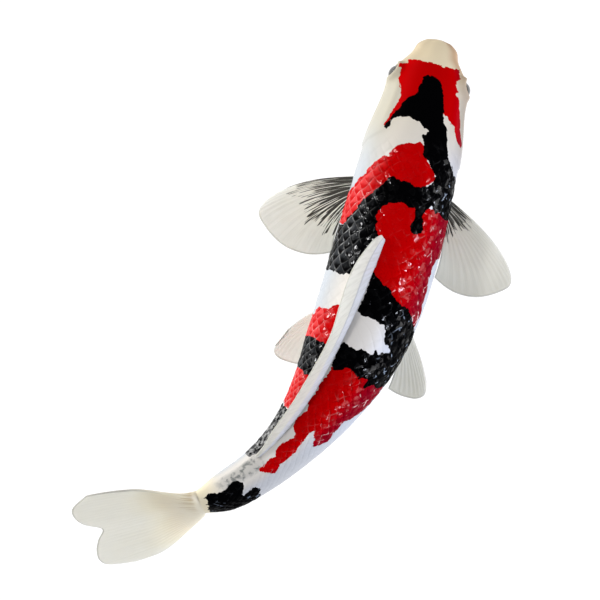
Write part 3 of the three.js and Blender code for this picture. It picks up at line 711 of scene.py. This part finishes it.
# The varnish lies on the scales in small flat facets, each tipped its own way, and some are thick pools.
PEEL_GRAIN = 0.9
FACET_SIZE = 2.6
FACET_SLOPE = 0.5
POOL_CHANCE = 0.3
LINE_DEPTH = 0.00009
place = object_place()
facets = add(tree, "ShaderNodeTexVoronoi", None, {"Vector": place, "Scale": 1000 / FACET_SIZE}).outputs
from_middle = vector_work("SUBTRACT", place, facets["Position"])[0]
tip = vector_work("SUBTRACT", facets["Color"], (0.5, 0.5, 0.5))[0]
tipped = vector_work("DOT_PRODUCT", from_middle, tip)["Value"]
coat = times(work_out("MAXIMUM", red_cover, black_cover), read.scale_strength)
coat = times(coat, scaled(read.left_flank, -0.85, 1.0))
bump = bumped(noise(PEEL_GRAIN, 1.0), 0.12, 0.0002)
bump = bumped(times(tipped, FACET_SLOPE, coat), 1.0, 1.0, bump)
bump = bumped(in_line, 1.0, LINE_DEPTH, bump, sunk=True)
pick = add(tree, "ShaderNodeSeparateXYZ", None, {0: facets["Color"]}).outputs[2]
pooled = times(work_out("GREATER_THAN", pick, 1 - POOL_CHANCE), coat)
pooled = times(pooled, rest_of(read.right_flank), rest_of(read.stalk_side))
surfaced({
    "Base Color": coloured, "Roughness": ramp(black_cover, 0.0, 1.0, 0.15, 0.1), "IOR": 1.12,
    "Specular IOR Level": 0.06, "Normal": bump,
    "Coat Weight": pooled, "Coat Roughness": 0.05, "Coat Normal": bump,
})

BACK_COLUMNS = 520
BACK_ROWS = 182
BACK_OUTER_SHARE = 0.87
back_skin = wrapped_grid(
    "back_skin", BACK_COLUMNS, BACK_ROWS,
    shell_shape(lambda t: seam_girth(t, -1), lambda t: seam_girth(t, 1), BACK_OUTER_SHARE, SEAM_OPENING / 2),
)
back_skin.data.materials.append(enamel)
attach(back_skin, "root")
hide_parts("back_shell")

# Belly half of the body.
# The other moulded shell, glued to the back half along the seam, flat where the figurine rests on its pad.
# It has the same white coat, and the flank patches end just below the seam.
BELLY_COLUMNS = 420
BELLY_ROWS = 136
BELLY_OUTER_SHARE = 0.85
belly_skin = wrapped_grid(
    "belly_skin", BELLY_COLUMNS, BELLY_ROWS,
    shell_shape(
        lambda t: seam_girth(t, 1), lambda t: 360 + seam_girth(t, -1), BELLY_OUTER_SHARE, -SEAM_OPENING / 2
    ),
)
belly_skin.data.materials.append(enamel)
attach(belly_skin, "root")
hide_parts("belly_shell")

# Eyes.
# Each is a printed disc at the foot of a pocket, black pupil in a gold iris, under a glued-in clear dome.
EYE_DISC_THICKNESS = 0.6
EYE_DISC_PLAY = 0.2
EYE_DOME_HEIGHT = 3.6
disc_floor = JOIN_GAP - EYE_POCKET_DEPTH
dome_floor = disc_floor + EYE_DISC_THICKNESS + JOIN_GAP


def drawn_out(across, along, scale=1.0, depth=None):
    """A random pattern whose grain is set apart across and along, flat or at a depth."""
    flatness = {"noise_dimensions": "2D" if depth is None else "3D"}
    spot = add(tree, "ShaderNodeCombineXYZ", None, {0: across, 1: along, 2: depth or 0.0}).outputs[0]
    return add(tree, "ShaderNodeTexNoise", flatness, {"Vector": spot, "Scale": scale}).outputs["Fac"]


# Screen print on card: flat inks, the iris flecked outwards from the pupil.
eye_print, tree = new_material("screen_printed_eye")
read = read_values("eye_radius", "eye_turn")
IRIS_FLECKS = 26.0
PUPIL_SHARE = 0.55
RING_SHARE = 0.86
iris = mixed(drawn_out(read.eye_turn, read.eye_radius, IRIS_FLECKS), "#4A3818", "#8A6E38")
ink = mixed(ramp(read.eye_radius, PUPIL_SHARE - 0.02, PUPIL_SHARE), "#080808", iris)
ink = mixed(ramp(read.eye_radius, RING_SHARE - 0.03, RING_SHARE), ink, "#141210")
surfaced({"Base Color": ink, "Roughness": 0.4})

# Clear acrylic: smoke-tinted and polished, with a faint moulding ripple.
eye_clear, tree = new_material("smoked_clear_acrylic")
RIPPLE = 2.5
surfaced({
    "Base Color": linear("#6C6B69"), "Roughness": 0.02, "IOR": 1.49, "Transmission Weight": 1.0,
    "Normal": bumped(noise(RIPPLE, 0.0), 0.05, 0.0002),
})


def eye_place(side):
    """The matrix that stands a shape made in mm about Z on the head where the eye is."""
    centre = Vector(skin(EYE_STATION, side * EYE_ANGLE))
    turn = Vector(skin_normal(EYE_STATION, side * EYE_ANGLE)).to_track_quat("Z", "Y").to_matrix().to_4x4()
    return Matrix.Scale(0.001, 4) @ Matrix.Translation(centre) @ turn


for side, hand in ((-1, "left"), (1, "right")):
    bm = bmesh.new()
    radius = EYE_DIAMETER / 2 - EYE_DISC_PLAY
    bmesh.ops.create_circle(bm, cap_ends=True, cap_tris=True, segments=64, radius=radius)
    bmesh.ops.subdivide_edges(bm, edges=bm.edges, cuts=2)
    bmesh.ops.solidify(bm, geom=bm.faces, thickness=EYE_DISC_THICKNESS)
    lowest = min(vertex.co.z for vertex in bm.verts)
    bmesh.ops.translate(bm, verts=bm.verts, vec=(0, 0, disc_floor - lowest))
    radius_layer = bm.verts.layers.float.new("eye_radius")
    turn_layer = bm.verts.layers.float.new("eye_turn")
    for vertex in bm.verts:
        vertex[radius_layer] = vertex.co.xy.length / radius
        vertex[turn_layer] = math.atan2(vertex.co.y, vertex.co.x)
    bmesh.ops.transform(bm, matrix=eye_place(side), verts=bm.verts)
    disc = finished(f"{hand}_eye_print", bm)
    disc.data.materials.append(eye_print)
    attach(disc, "root")
    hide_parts(f"{hand}_eye_disc")

    bm = bmesh.new()
    bmesh.ops.create_uvsphere(bm, u_segments=48, v_segments=32, radius=EYE_DIAMETER / 2)
    bmesh.ops.scale(bm, vec=(1, 1, EYE_DOME_HEIGHT / (EYE_DIAMETER / 2)), verts=bm.verts)
    everything = bm.verts[:] + bm.edges[:] + bm.faces[:]
    bmesh.ops.bisect_plane(bm, geom=everything, plane_co=(0, 0, 0.01), plane_no=(0, 0, 1), clear_inner=True)
    bmesh.ops.holes_fill(bm, edges=[edge for edge in bm.edges if edge.is_boundary], sides=0)
    bmesh.ops.translate(bm, verts=bm.verts, vec=(0, 0, dome_floor))
    bmesh.ops.transform(bm, matrix=eye_place(side), verts=bm.verts)
    dome = finished(f"{hand}_eye_lens", bm)
    dome.data.materials.append(eye_clear)
    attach(dome, "root")
    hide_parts(f"{hand}_eye_dome")

# Barbels.
# Four short tapered feelers of soft vinyl, two below the corners of the mouth and two nearer its front.
# Each has a peg that is pushed into a hole in the shell.
BARBEL_ROOT_RADIUS = 0.9
BARBEL_TIP_RADIUS = 0.4
BARBEL_PEG_DEPTH = 3.0
BARBEL_DROOP = 0.65
BARBEL_TRAIL = 0.7
BARBEL_COLUMNS = 48
BARBEL_ROWS = 20

# Soft vinyl, self-coloured: matt, with a faint mottle.
barbel_vinyl, tree = new_material("soft_vinyl_beige")
MOTTLE = 1.5
beige = mixed(noise(MOTTLE), "#DCC6A2", "#E8D8BC")
surfaced({"Base Color": beige, "Roughness": 0.45})


def barbel_shape(station, side, angle, length):
    foot = skin(station, side * angle)
    out = skin_normal(station, side * angle)
    aft = frame_at(station)[1]
    drop, trail = UP * BARBEL_DROOP * length, aft * BARBEL_TRAIL * length
    knots = np.array([-BARBEL_PEG_DEPTH, 0, 0.5 * length, length])
    peg_end, middle, tip = foot - out * BARBEL_PEG_DEPTH, foot - 0.6 * drop + 0.2 * trail, foot - drop + trail
    path = np.array([peg_end, foot, middle, tip])

    def centre(x):
        return np.stack([smooth_line(knots, path[:, axis], x) for axis in range(3)], -1)

    def shape(u, v):
        x = knots[0] + (length - knots[0]) * u
        along = unit(centre(x + 0.05) - centre(x - 0.05))
        beside = unit(np.cross(along, aft))
        over = np.cross(beside, along)
        radius = BARBEL_ROOT_RADIUS + (BARBEL_TIP_RADIUS - BARBEL_ROOT_RADIUS) * np.clip(x / length, 0, 1)
        in_tip = ((x - length + BARBEL_TIP_RADIUS) / BARBEL_TIP_RADIUS).clip(0, 1)
        rounded = np.sqrt(np.clip(1 - in_tip ** 2, 0, 1))
        ringed = (radius * rounded * (1 + 0.05 * np.sin(x * 5)))[:, None]
        turn = (2 * math.pi * v)[:, None]
        return centre(x) + (beside * np.cos(turn) + over * np.sin(turn)) * ringed, {}
    return shape


for side, hand in ((-1, "left"), (1, "right")):
    for kind, station, angle, length in (("barbel", 9.0, 132.0, 13.0), ("lip_barbel", 5.0, 128.0, 6.0)):
        shape = barbel_shape(station, side, angle, length)
        feeler = wrapped_grid(f"{hand}_{kind}_feeler", BARBEL_COLUMNS, BARBEL_ROWS, shape)
        feeler.data.materials.append(barbel_vinyl)
        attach(feeler, "root")
        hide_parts(f"{hand}_{kind}")

# Paired fins.
# Thin blades of milky vinyl with moulded rays, glued by a root tab into a slot in the belly shell.
# The two breast fins have dry-brushed black strokes that run out from the root.
FIN_ROOT_THICKNESS = 1.8
FIN_EDGE_THICKNESS = 0.8
TAB_SHARE = 0.09
RAY_HEIGHT = 0.035
REAR_RAY_SWEEP = 2.4
FIN_COLUMNS = 160
FIN_ROWS = 150
PECTORAL_EDGE = np.array([
    (0, 0.81), (0.2, 0.94), (0.35, 1), (0.5, 0.97), (0.7, 0.88), (0.85, 0.75), (1, 0.57),
])
PELVIC_EDGE = np.array([(0, 0.88), (0.25, 1), (0.5, 0.98), (0.75, 0.85), (1, 0.68)])

# Milky vinyl: a warm grey-white that light passes into, finely lined along the rays, greyer at its rim as
# painted shade, with painted shade on some fins and a painted shadow along the back fin's fold.
fin_vinyl, tree = new_material("milky_vinyl_fin")
read = read_values("along", "rim", "stroke", "rays", "warmth", "shade", "cool", "fold", "streak", "grain")
MILK_GRAIN = 9.0
LINES_PER_RAY = 4.5
LINE_RUN = 2.2
RIM_WIDTH = 1.0
BRISTLES_PER_RAY = 3.8
BRISTLE_RUN = 3.0
BRISTLE_DEPTH = 3.7
lines = drawn_out(times(read.rays, LINES_PER_RAY), times(read.along, LINE_RUN))
rim_shade = times(ramp(read.rim, 0.0, RIM_WIDTH, 0.9, 0.0), ramp(read.along, 0.3, 0.65, 0.15, 1.0))
bristles = drawn_out(times(read.rays, BRISTLES_PER_RAY), times(read.along, BRISTLE_RUN), depth=BRISTLE_DEPTH)
vinyl = layered(
    mixed(noise(MILK_GRAIN), "#F7F5E9", "#F1EEE1"),
    (read.warmth, "#F7E8C2"),
    # Painted shade: greyer where a fin is shaded, bluish along the back fin's root, and a dark shadow line at
    # its fold.
    (read.shade, "#C6C4BA"),
    (read.cool, "#C8CAD2"),
    (times(read.fold, 0.55), "#80818C"),
    (times(ramp(lines, 0.45, 0.7), scaled(read.grain, 0.22, 0.09)), "#A9A69A"),
    (times(rim_shade, scaled(read.grain, -0.8, 1.0)), "#94938E"),
    (ramp(work_out("ADD", bristles, read.stroke), 1.0, 1.1, 0.0, 0.94, "SMOOTHSTEP"), "#1E190F"),
    (ramp(work_out("ADD", bristles, read.streak), 0.9, 1.1, 0.0, 0.55, "SMOOTHSTEP"), "#A98B4C"),
)
surfaced({
    "Base Color": vinyl, "Roughness": 0.42, "Specular IOR Level": 0.25, "Subsurface Weight": 0.65,
    "Subsurface Radius": (1.0, 0.98, 0.9), "Subsurface Scale": 0.003, "Normal": bumped(lines, 0.15, 0.0003),
})


def blade_shape(surface, thickness, rays, start, tints=None):
    """How a grid folds into a closed blade: out along one face from root to rim, and back along the other."""
    def shape(u, v):
        face = np.where(v <= 0.5, 1.0, -1.0)
        out = 1 - np.abs(2 * v - 1)
        along = start + (1 - start) * (1 - (1 - out) ** 1.3)
        across = 0.5 - 0.5 * np.cos(math.pi * u)
        across = 0.35 * across + 0.65 * u
        centre = surface(across, along)
        step = 0.004
        sideways = surface(np.clip(across + step, 0, 1), along) - surface(np.clip(across - step, 0, 1), along)
        further, nearer = np.clip(along + step, start, 1), np.clip(along - step, start, 1)
        outward = surface(across, further) - surface(across, nearer)
        normal = unit(np.cross(sideways, outward))
        from_front = np.linalg.norm(centre - surface(np.zeros_like(across), along), axis=1)
        from_rear = np.linalg.norm(centre - surface(np.ones_like(across), along), axis=1)
        from_tip = np.linalg.norm(centre - surface(across, np.ones_like(along)), axis=1)
        rim = np.minimum(np.minimum(from_front, from_rear), from_tip)
        half = thickness(across, along) / 2 * ease(along, start, start + 0.03)
        rounded = np.sqrt(np.clip(1 - (1 - np.clip(rim / np.maximum(half, 0.2), 0, 1)) ** 2, 0, 1))
        ridge = RAY_HEIGHT * np.cos(2 * math.pi * across * rays) * ease(along, 0, 0.25) * ease(rim, 0.3, 2)
        points = centre + normal * (face * (half + ridge) * rounded)[:, None]
        unpainted = ("stroke", "warmth", "shade", "cool", "fold", "streak", "grain")
        values = {label: np.zeros_like(across) for label in unpainted}
        values.update({"along": along, "rim": rim, "rays": across * rays})
        if tints:
            values.update(tints(across, along))
        return points, values
    return shape


def fin_thickness(across, along):
    return FIN_ROOT_THICKNESS + (FIN_EDGE_THICKNESS - FIN_ROOT_THICKNESS) * np.clip(along, 0, 1)


def paired_fin(side, station, angle, root, length, edge, lead, trail, curl, drop):
    _, aft, level, _, _ = frame_at(station + root / 2)
    out = level * side

    def surface(across, along):
        foot = skin(station + root * across, side * angle)
        turned_in = curl * (1 - np.clip(along, 0, 1) ** 2)
        sweep = np.radians(lead + (trail - lead) * across ** REAR_RAY_SWEEP - turned_in)
        reach = length * smooth_line(edge[:, 0], edge[:, 1], across) * along
        points = foot + out * (reach * np.cos(sweep))[:, None] + aft * (reach * np.sin(sweep))[:, None]
        return points - UP * (drop * np.maximum(along, 0))[:, None]
    return surface


def lane_ends(across, lanes, seed):
    """A ragged length for each lane of brush hairs."""
    lane = np.floor(across * lanes)
    return np.mod(np.sin(lane * 17.31 + seed) * 2931.7, 1)


def left_strokes(across, along):
    end = 0.72 + 0.2 * lane_ends(across, 34, 1.0)
    end = end - 0.18 * ease(across, 0.08, 0.5) + 0.06 * ease(across, 0.6, 0.9)
    body = ease(across, 0.0, 0.02) * (0.7 + 0.06 * fade(across, 0.05, 0.3))
    inked = (body - 0.2 * np.clip(along / end, 0, 1)) * fade(along, end - 0.08, end + 0.02)
    return {"stroke": inked}


def right_strokes(across, along):
    end = 0.25 + 0.16 * lane_ends(across, 30, 2.0)
    end = end - 0.08 * ease(across, 0.35, 0.5) + 0.14 * ease(across, 0.75, 0.95)
    body = ease(across, 0.0, 0.06)
    inked = body * (0.68 - 0.15 * np.clip(along / end, 0, 1)) * fade(along, end - 0.05, end + 0.02)
    # The right breast fin also gets painted shade, greyer towards its tip.
    return {"stroke": inked, "shade": 0.5 + 0.25 * ease(along, 0.7, 1)}


def right_shade(across, along):
    return {"shade": np.full_like(along, 0.7)}


# A seat is the station, girth and length of a root.
# A pose is the sweep of the first ray and of the last, the curl and the drop.
PECTORAL = (75.5, 114.0, 11.0)
PELVIC = (141.5, 130.0, 10.0)
for name, side, seat, length, edge, pose, rays, tints in (
    ("left_pectoral_fin", -1, PECTORAL, 52.5, PECTORAL_EDGE, (26, 82.5, 10.5, 6), 16, left_strokes),
    ("right_pectoral_fin", 1, PECTORAL, 52.0, PECTORAL_EDGE, (33, 84.5, 7, 6), 16, right_strokes),
    ("left_pelvic_fin", -1, PELVIC, 38.5, PELVIC_EDGE, (55, 84, 12, -2), 11, None),
    ("right_pelvic_fin", 1, PELVIC, 32.5, PELVIC_EDGE, (51.5, 86, 4, 2), 11, right_shade),
):
    surface = paired_fin(side, *seat, length, edge, *pose)
    shape = blade_shape(surface, fin_thickness, rays, -TAB_SHARE, tints)
    blade = wrapped_grid(f"{name}_blade", FIN_COLUMNS, FIN_ROWS, shape)
    blade.data.materials.append(fin_vinyl)
    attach(blade, "root")
    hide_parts(name)

# Back fin and anal fin.
# The same milky vinyl, each a long low blade whose root is glued into a slot, one on the ridge and one below.
# The back fin lies over to the left, swept aft.
DORSAL_EDGE = np.array([
    (0, 0.13, -26), (0.03, 0.47, 10), (0.06, 0.73, 22), (0.1, 0.88, 28), (0.18, 1, 44), (0.335, 0.73, 46),
    (0.59, 0.69, 48), (0.795, 0.56, 49), (0.92, 0.27, 50), (1, 0.13, 51),
])
ANAL_EDGE = np.array([(0, 0.8, 55), (0.3, 1, 58), (0.7, 0.8, 62), (1, 0.5, 65)])
DORSAL_LEAN = math.radians(38)
MIDDLE_TAB_SHARE = 0.12


def leaning(level, ridge):
    return UP * math.cos(DORSAL_LEAN) - level * math.sin(DORSAL_LEAN)


def below(level, ridge):
    return -ridge


def middle_fin(station, base, girth, girth_aft, length, edge, stem_of):
    def surface(across, along):
        t = station + base * across
        _, aft, level, _, ridge = frame_at(t)
        rake = np.radians(smooth_line(edge[:, 0], edge[:, 2], across))
        reach = length * smooth_line(edge[:, 0], edge[:, 1], across) * along
        foot = skin(t, girth + (girth_aft - girth) * across)
        stem = stem_of(level, ridge)
        return foot + stem * (reach * np.cos(rake))[:, None] + aft * (reach * np.sin(rake))[:, None]
    return surface


# Painted shade on the back fin: greyer all over, bluish along its root and a shadow line where it bends over.
def dorsal_tints(across, along):
    fold = hump(along - 0.38, 0.03) * fade(across, 0.3, 0.55)
    return {
        "shade": 0.8 + 0.2 * ease(along, 0.5, 0.85) * ease(across, 0.2, 0.45),
        "fold": fold,
        "cool": 0.75 * fade(along, 0.34, 0.44),
        "grain": np.ones_like(along),
    }


# The station and length of the root, its girth at the front and aft, then the fin's height, edge and stem.
DORSAL = (DORSAL_STATION, DORSAL_BASE, 0.0, DORSAL_GIRTH_AFT, 21.0, DORSAL_EDGE, leaning)
ANAL = (198.0, 18.0, 180.0, 180.0, 15.0, ANAL_EDGE, below)
for name, fin, rays, columns, rows, tints in (
    ("dorsal_fin", DORSAL, 21, 300, 90, dorsal_tints),
    ("anal_fin", ANAL, 7, 90, 70, None),
):
    shape = blade_shape(middle_fin(*fin), fin_thickness, rays, -MIDDLE_TAB_SHARE, tints)
    blade = wrapped_grid(f"{name}_blade", columns, rows, shape)
    blade.data.materials.append(fin_vinyl)
    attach(blade, "root")
    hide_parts(name)

# Tail fin.
# A forked blade of the same vinyl, thick at the stalk and thin at the rim, plugged into the end of the body.
# Its root is sprayed pale cream with fine brown streaks, which fade out along the rays.
TAIL_EDGE = np.array([
    (0, 0.84), (0.125, 0.98), (0.25, 1), (0.375, 0.95), (0.5, 0.825), (0.625, 0.89), (0.75, 0.935),
    (0.875, 0.935), (0.945, 0.86), (1, 0.66),
])
TAIL_COLUMNS = 240
TAIL_ROWS = 180
TAIL_RAYS = 26
TAIL_PLUG_SHARE = 0.06
TAIL_UPPER_SPREAD = 27.0
TAIL_LOWER_SPREAD = 32.0
TAIL_LOWER_FAN = 0.5
TAIL_UPPER_FAN = 0.85
end_half, end_back, end_belly = section_at(np.array(BODY_LENGTH))


def tail_surface(across, along):
    edge = smooth_line(TAIL_EDGE[:, 0], TAIL_EDGE[:, 1], across)
    t = BODY_LENGTH + JOIN_GAP + (TAIL_LENGTH - JOIN_GAP) * edge * along
    share = 1 - 2 * across
    root = share * np.where(share > 0, end_back, end_belly)
    spread = share * np.where(share > 0, TAIL_UPPER_SPREAD, TAIL_LOWER_SPREAD)
    opening = TAIL_LOWER_FAN + (TAIL_UPPER_FAN - TAIL_LOWER_FAN) * np.maximum(0, share)
    fan = np.sin(math.pi / 2 * np.clip(along, 0, 1) ** opening)
    origin, _, _, _, ridge = frame_at(t)
    return origin + ridge * (root + (spread - root) * fan)[:, None]


def tail_thickness(across, along):
    stalk = np.clip(1 - np.abs(1 - 2 * across) ** SECTION_FULLNESS, 0, 1) ** (1 / SECTION_FULLNESS)
    plug = 1 - 0.12 * fade(along, -0.03, -0.012)
    thin = 1 - (1 - np.clip(along / 0.4, 0, 1)) ** 1.6
    return 2 * end_half * stalk * plug + (fin_thickness(across, along) - 2 * end_half * stalk) * thin


def tail_tints(across, along):
    near_root = ease(along, -0.01, 0.06) * fade(along, 0.06, 0.34)
    return {
        "warmth": 0.15 + 0.7 * fade(along, 0.2, 0.66),
        "streak": 0.5 * near_root * (1 - 0.3 * ease(across, 0.3, 0.7)),
        # Painted shade, greying the whole tail.
        "shade": np.full_like(along, 0.35),
    }


tail = wrapped_grid(
    "tail_fin_blade", TAIL_COLUMNS, TAIL_ROWS,
    blade_shape(tail_surface, tail_thickness, TAIL_RAYS, -TAIL_PLUG_SHARE, tail_tints),
)
tail.data.materials.append(fin_vinyl)
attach(tail, "root")
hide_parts("tail_fin")

# Belly pad.
# An oval of pressed wool felt, stuck under the flat of the belly so that it stands without scratching.
PAD_LENGTH = 56.0
PAD_WIDTH = 20.0
PAD_ROUNDING = 0.25

# Pressed wool felt: matt, a tangle of short fibres with a soft nap.
felt, tree = new_material("pressed_wool_felt")
FIBRE = 0.4
fibres = noise(FIBRE, 4.0)
grey = mixed(fibres, "#B9B6AE", "#DAD7CF")
bump = bumped(fibres, 0.6, 0.0003)
surfaced({"Base Color": grey, "Roughness": 0.95, "Sheen Weight": 0.3, "Normal": bump})

bm = bmesh.new()
bmesh.ops.create_circle(bm, cap_ends=True, segments=64, radius=PAD_WIDTH / 2000)
bmesh.ops.scale(bm, vec=(1, PAD_LENGTH / PAD_WIDTH, 1), verts=bm.verts)
bmesh.ops.solidify(bm, geom=bm.faces, thickness=PAD_THICKNESS / 1000)
lowest = min(vertex.co.z for vertex in bm.verts)
bmesh.ops.translate(bm, verts=bm.verts, vec=(0, 0, -lowest))
rim_edges = [edge for edge in bm.edges if edge.calc_face_angle(0) > 1]
bmesh.ops.bevel(
    bm, geom=rim_edges, offset=PAD_ROUNDING / 1000, segments=3, profile=0.5, affect="EDGES", material=-1
)
pad = finished("felt_pad", bm)
pad.data.materials.append(felt)
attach(pad, "root")
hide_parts("belly_pad")

# Floor, light and camera.
# A white table lit through from below, and soft boxes set around it so that the gloss stays dark from above.
floor_paint, tree = new_material("matt_white_floor")
SPECKLES_PER_METRE = 60.0
chalk = mixed(noise(1000 / SPECKLES_PER_METRE), "#7C7C7C", "#808080")
surfaced({
    "Base Color": chalk, "Roughness": 0.9, "Specular IOR Level": 0.1, "Emission Color": linear("#FFFFFF"),
    "Emission Strength": 0.9,
})
FLOOR_HALF = 4.0
bm = bmesh.new()
bmesh.ops.create_grid(bm, x_segments=4, y_segments=4, size=FLOOR_HALF)
floor = finished("floor", bm)
floor.data.materials.append(floor_paint)
LIGHT_AIM = Vector((-0.03, -0.03, 0.02))


def soft_box(name, spot, size, power, colour):
    light = bpy.data.lights.new(name, "AREA")
    light.shape = "RECTANGLE"
    light.size, light.size_y = size
    light.energy = power
    light.color = linear(colour)[:3]
    box = bpy.data.objects.new(name, light)
    bpy.context.scene.collection.objects.link(box)
    box.location = spot
    box.rotation_euler = (LIGHT_AIM - box.location).to_track_quat("-Z", "Y").to_euler()


soft_box("left_panel", (-1.1, 0.1, 0.42), (0.3, 0.22), 4.3, "#FFFFFF")
soft_box("left_low_box", (-1.0, -0.05, 0.15), (0.2, 0.12), 1.8, "#FFFFFF")
soft_box("left_front_box", (-0.85, 0.55, 0.27), (0.14, 0.1), 0.9, "#FFFFFF")
soft_box("left_box", (-0.75, 0.12, 0.92), (0.12, 0.12), 3.8, "#FFFFFF")
soft_box("right_box", (0.8, -0.2, 0.42), (0.36, 0.26), 5.4, "#EAF0FF")
soft_box("right_glint_box", (0.85, 0.1, 0.34), (0.06, 0.06), 1.3, "#F6F8FF")
soft_box("right_low_box", (0.95, -0.1, 0.16), (0.12, 0.08), 2.0, "#E9EDFF")

world = bpy.data.worlds.new("studio")
bpy.context.scene.world = world
world.use_nodes = True
tree = world.node_tree
tree.nodes.clear()
direction = add(tree, "ShaderNodeTexCoord").outputs["Generated"]
parts = add(tree, "ShaderNodeSeparateXYZ", None, {0: direction}).outputs
side_dim = ramp(parts[0], -0.7, 0.7, 0.5, 0.24)
dim = ramp(parts[2], 0.3, 0.92, side_dim, 0.1, "SMOOTHSTEP")
sky = add(tree, "ShaderNodeBackground", None, {"Color": linear("#F8F9FF"), "Strength": dim})
add(tree, "ShaderNodeOutputWorld", None, {"Surface": sky.outputs[0]})
bpy.context.scene.view_settings.view_transform = "Standard"

CAMERA_DISTANCE = 1.0
CAMERA_OVER = (-0.0358, -0.0279, 0.029)
CAMERA_TURN = 14.1
CAMERA_LENS = 120.0
SENSOR_WIDTH = 36.0
camera = bpy.data.objects.new("camera", bpy.data.cameras.new("camera"))
bpy.context.scene.collection.objects.link(camera)
camera.location = (*CAMERA_OVER[:2], CAMERA_OVER[2] + CAMERA_DISTANCE)
camera.rotation_euler = (0, 0, math.radians(CAMERA_TURN))
camera.data.sensor_width = SENSOR_WIDTH
camera.data.lens = CAMERA_LENS
bpy.context.scene.camera = camera
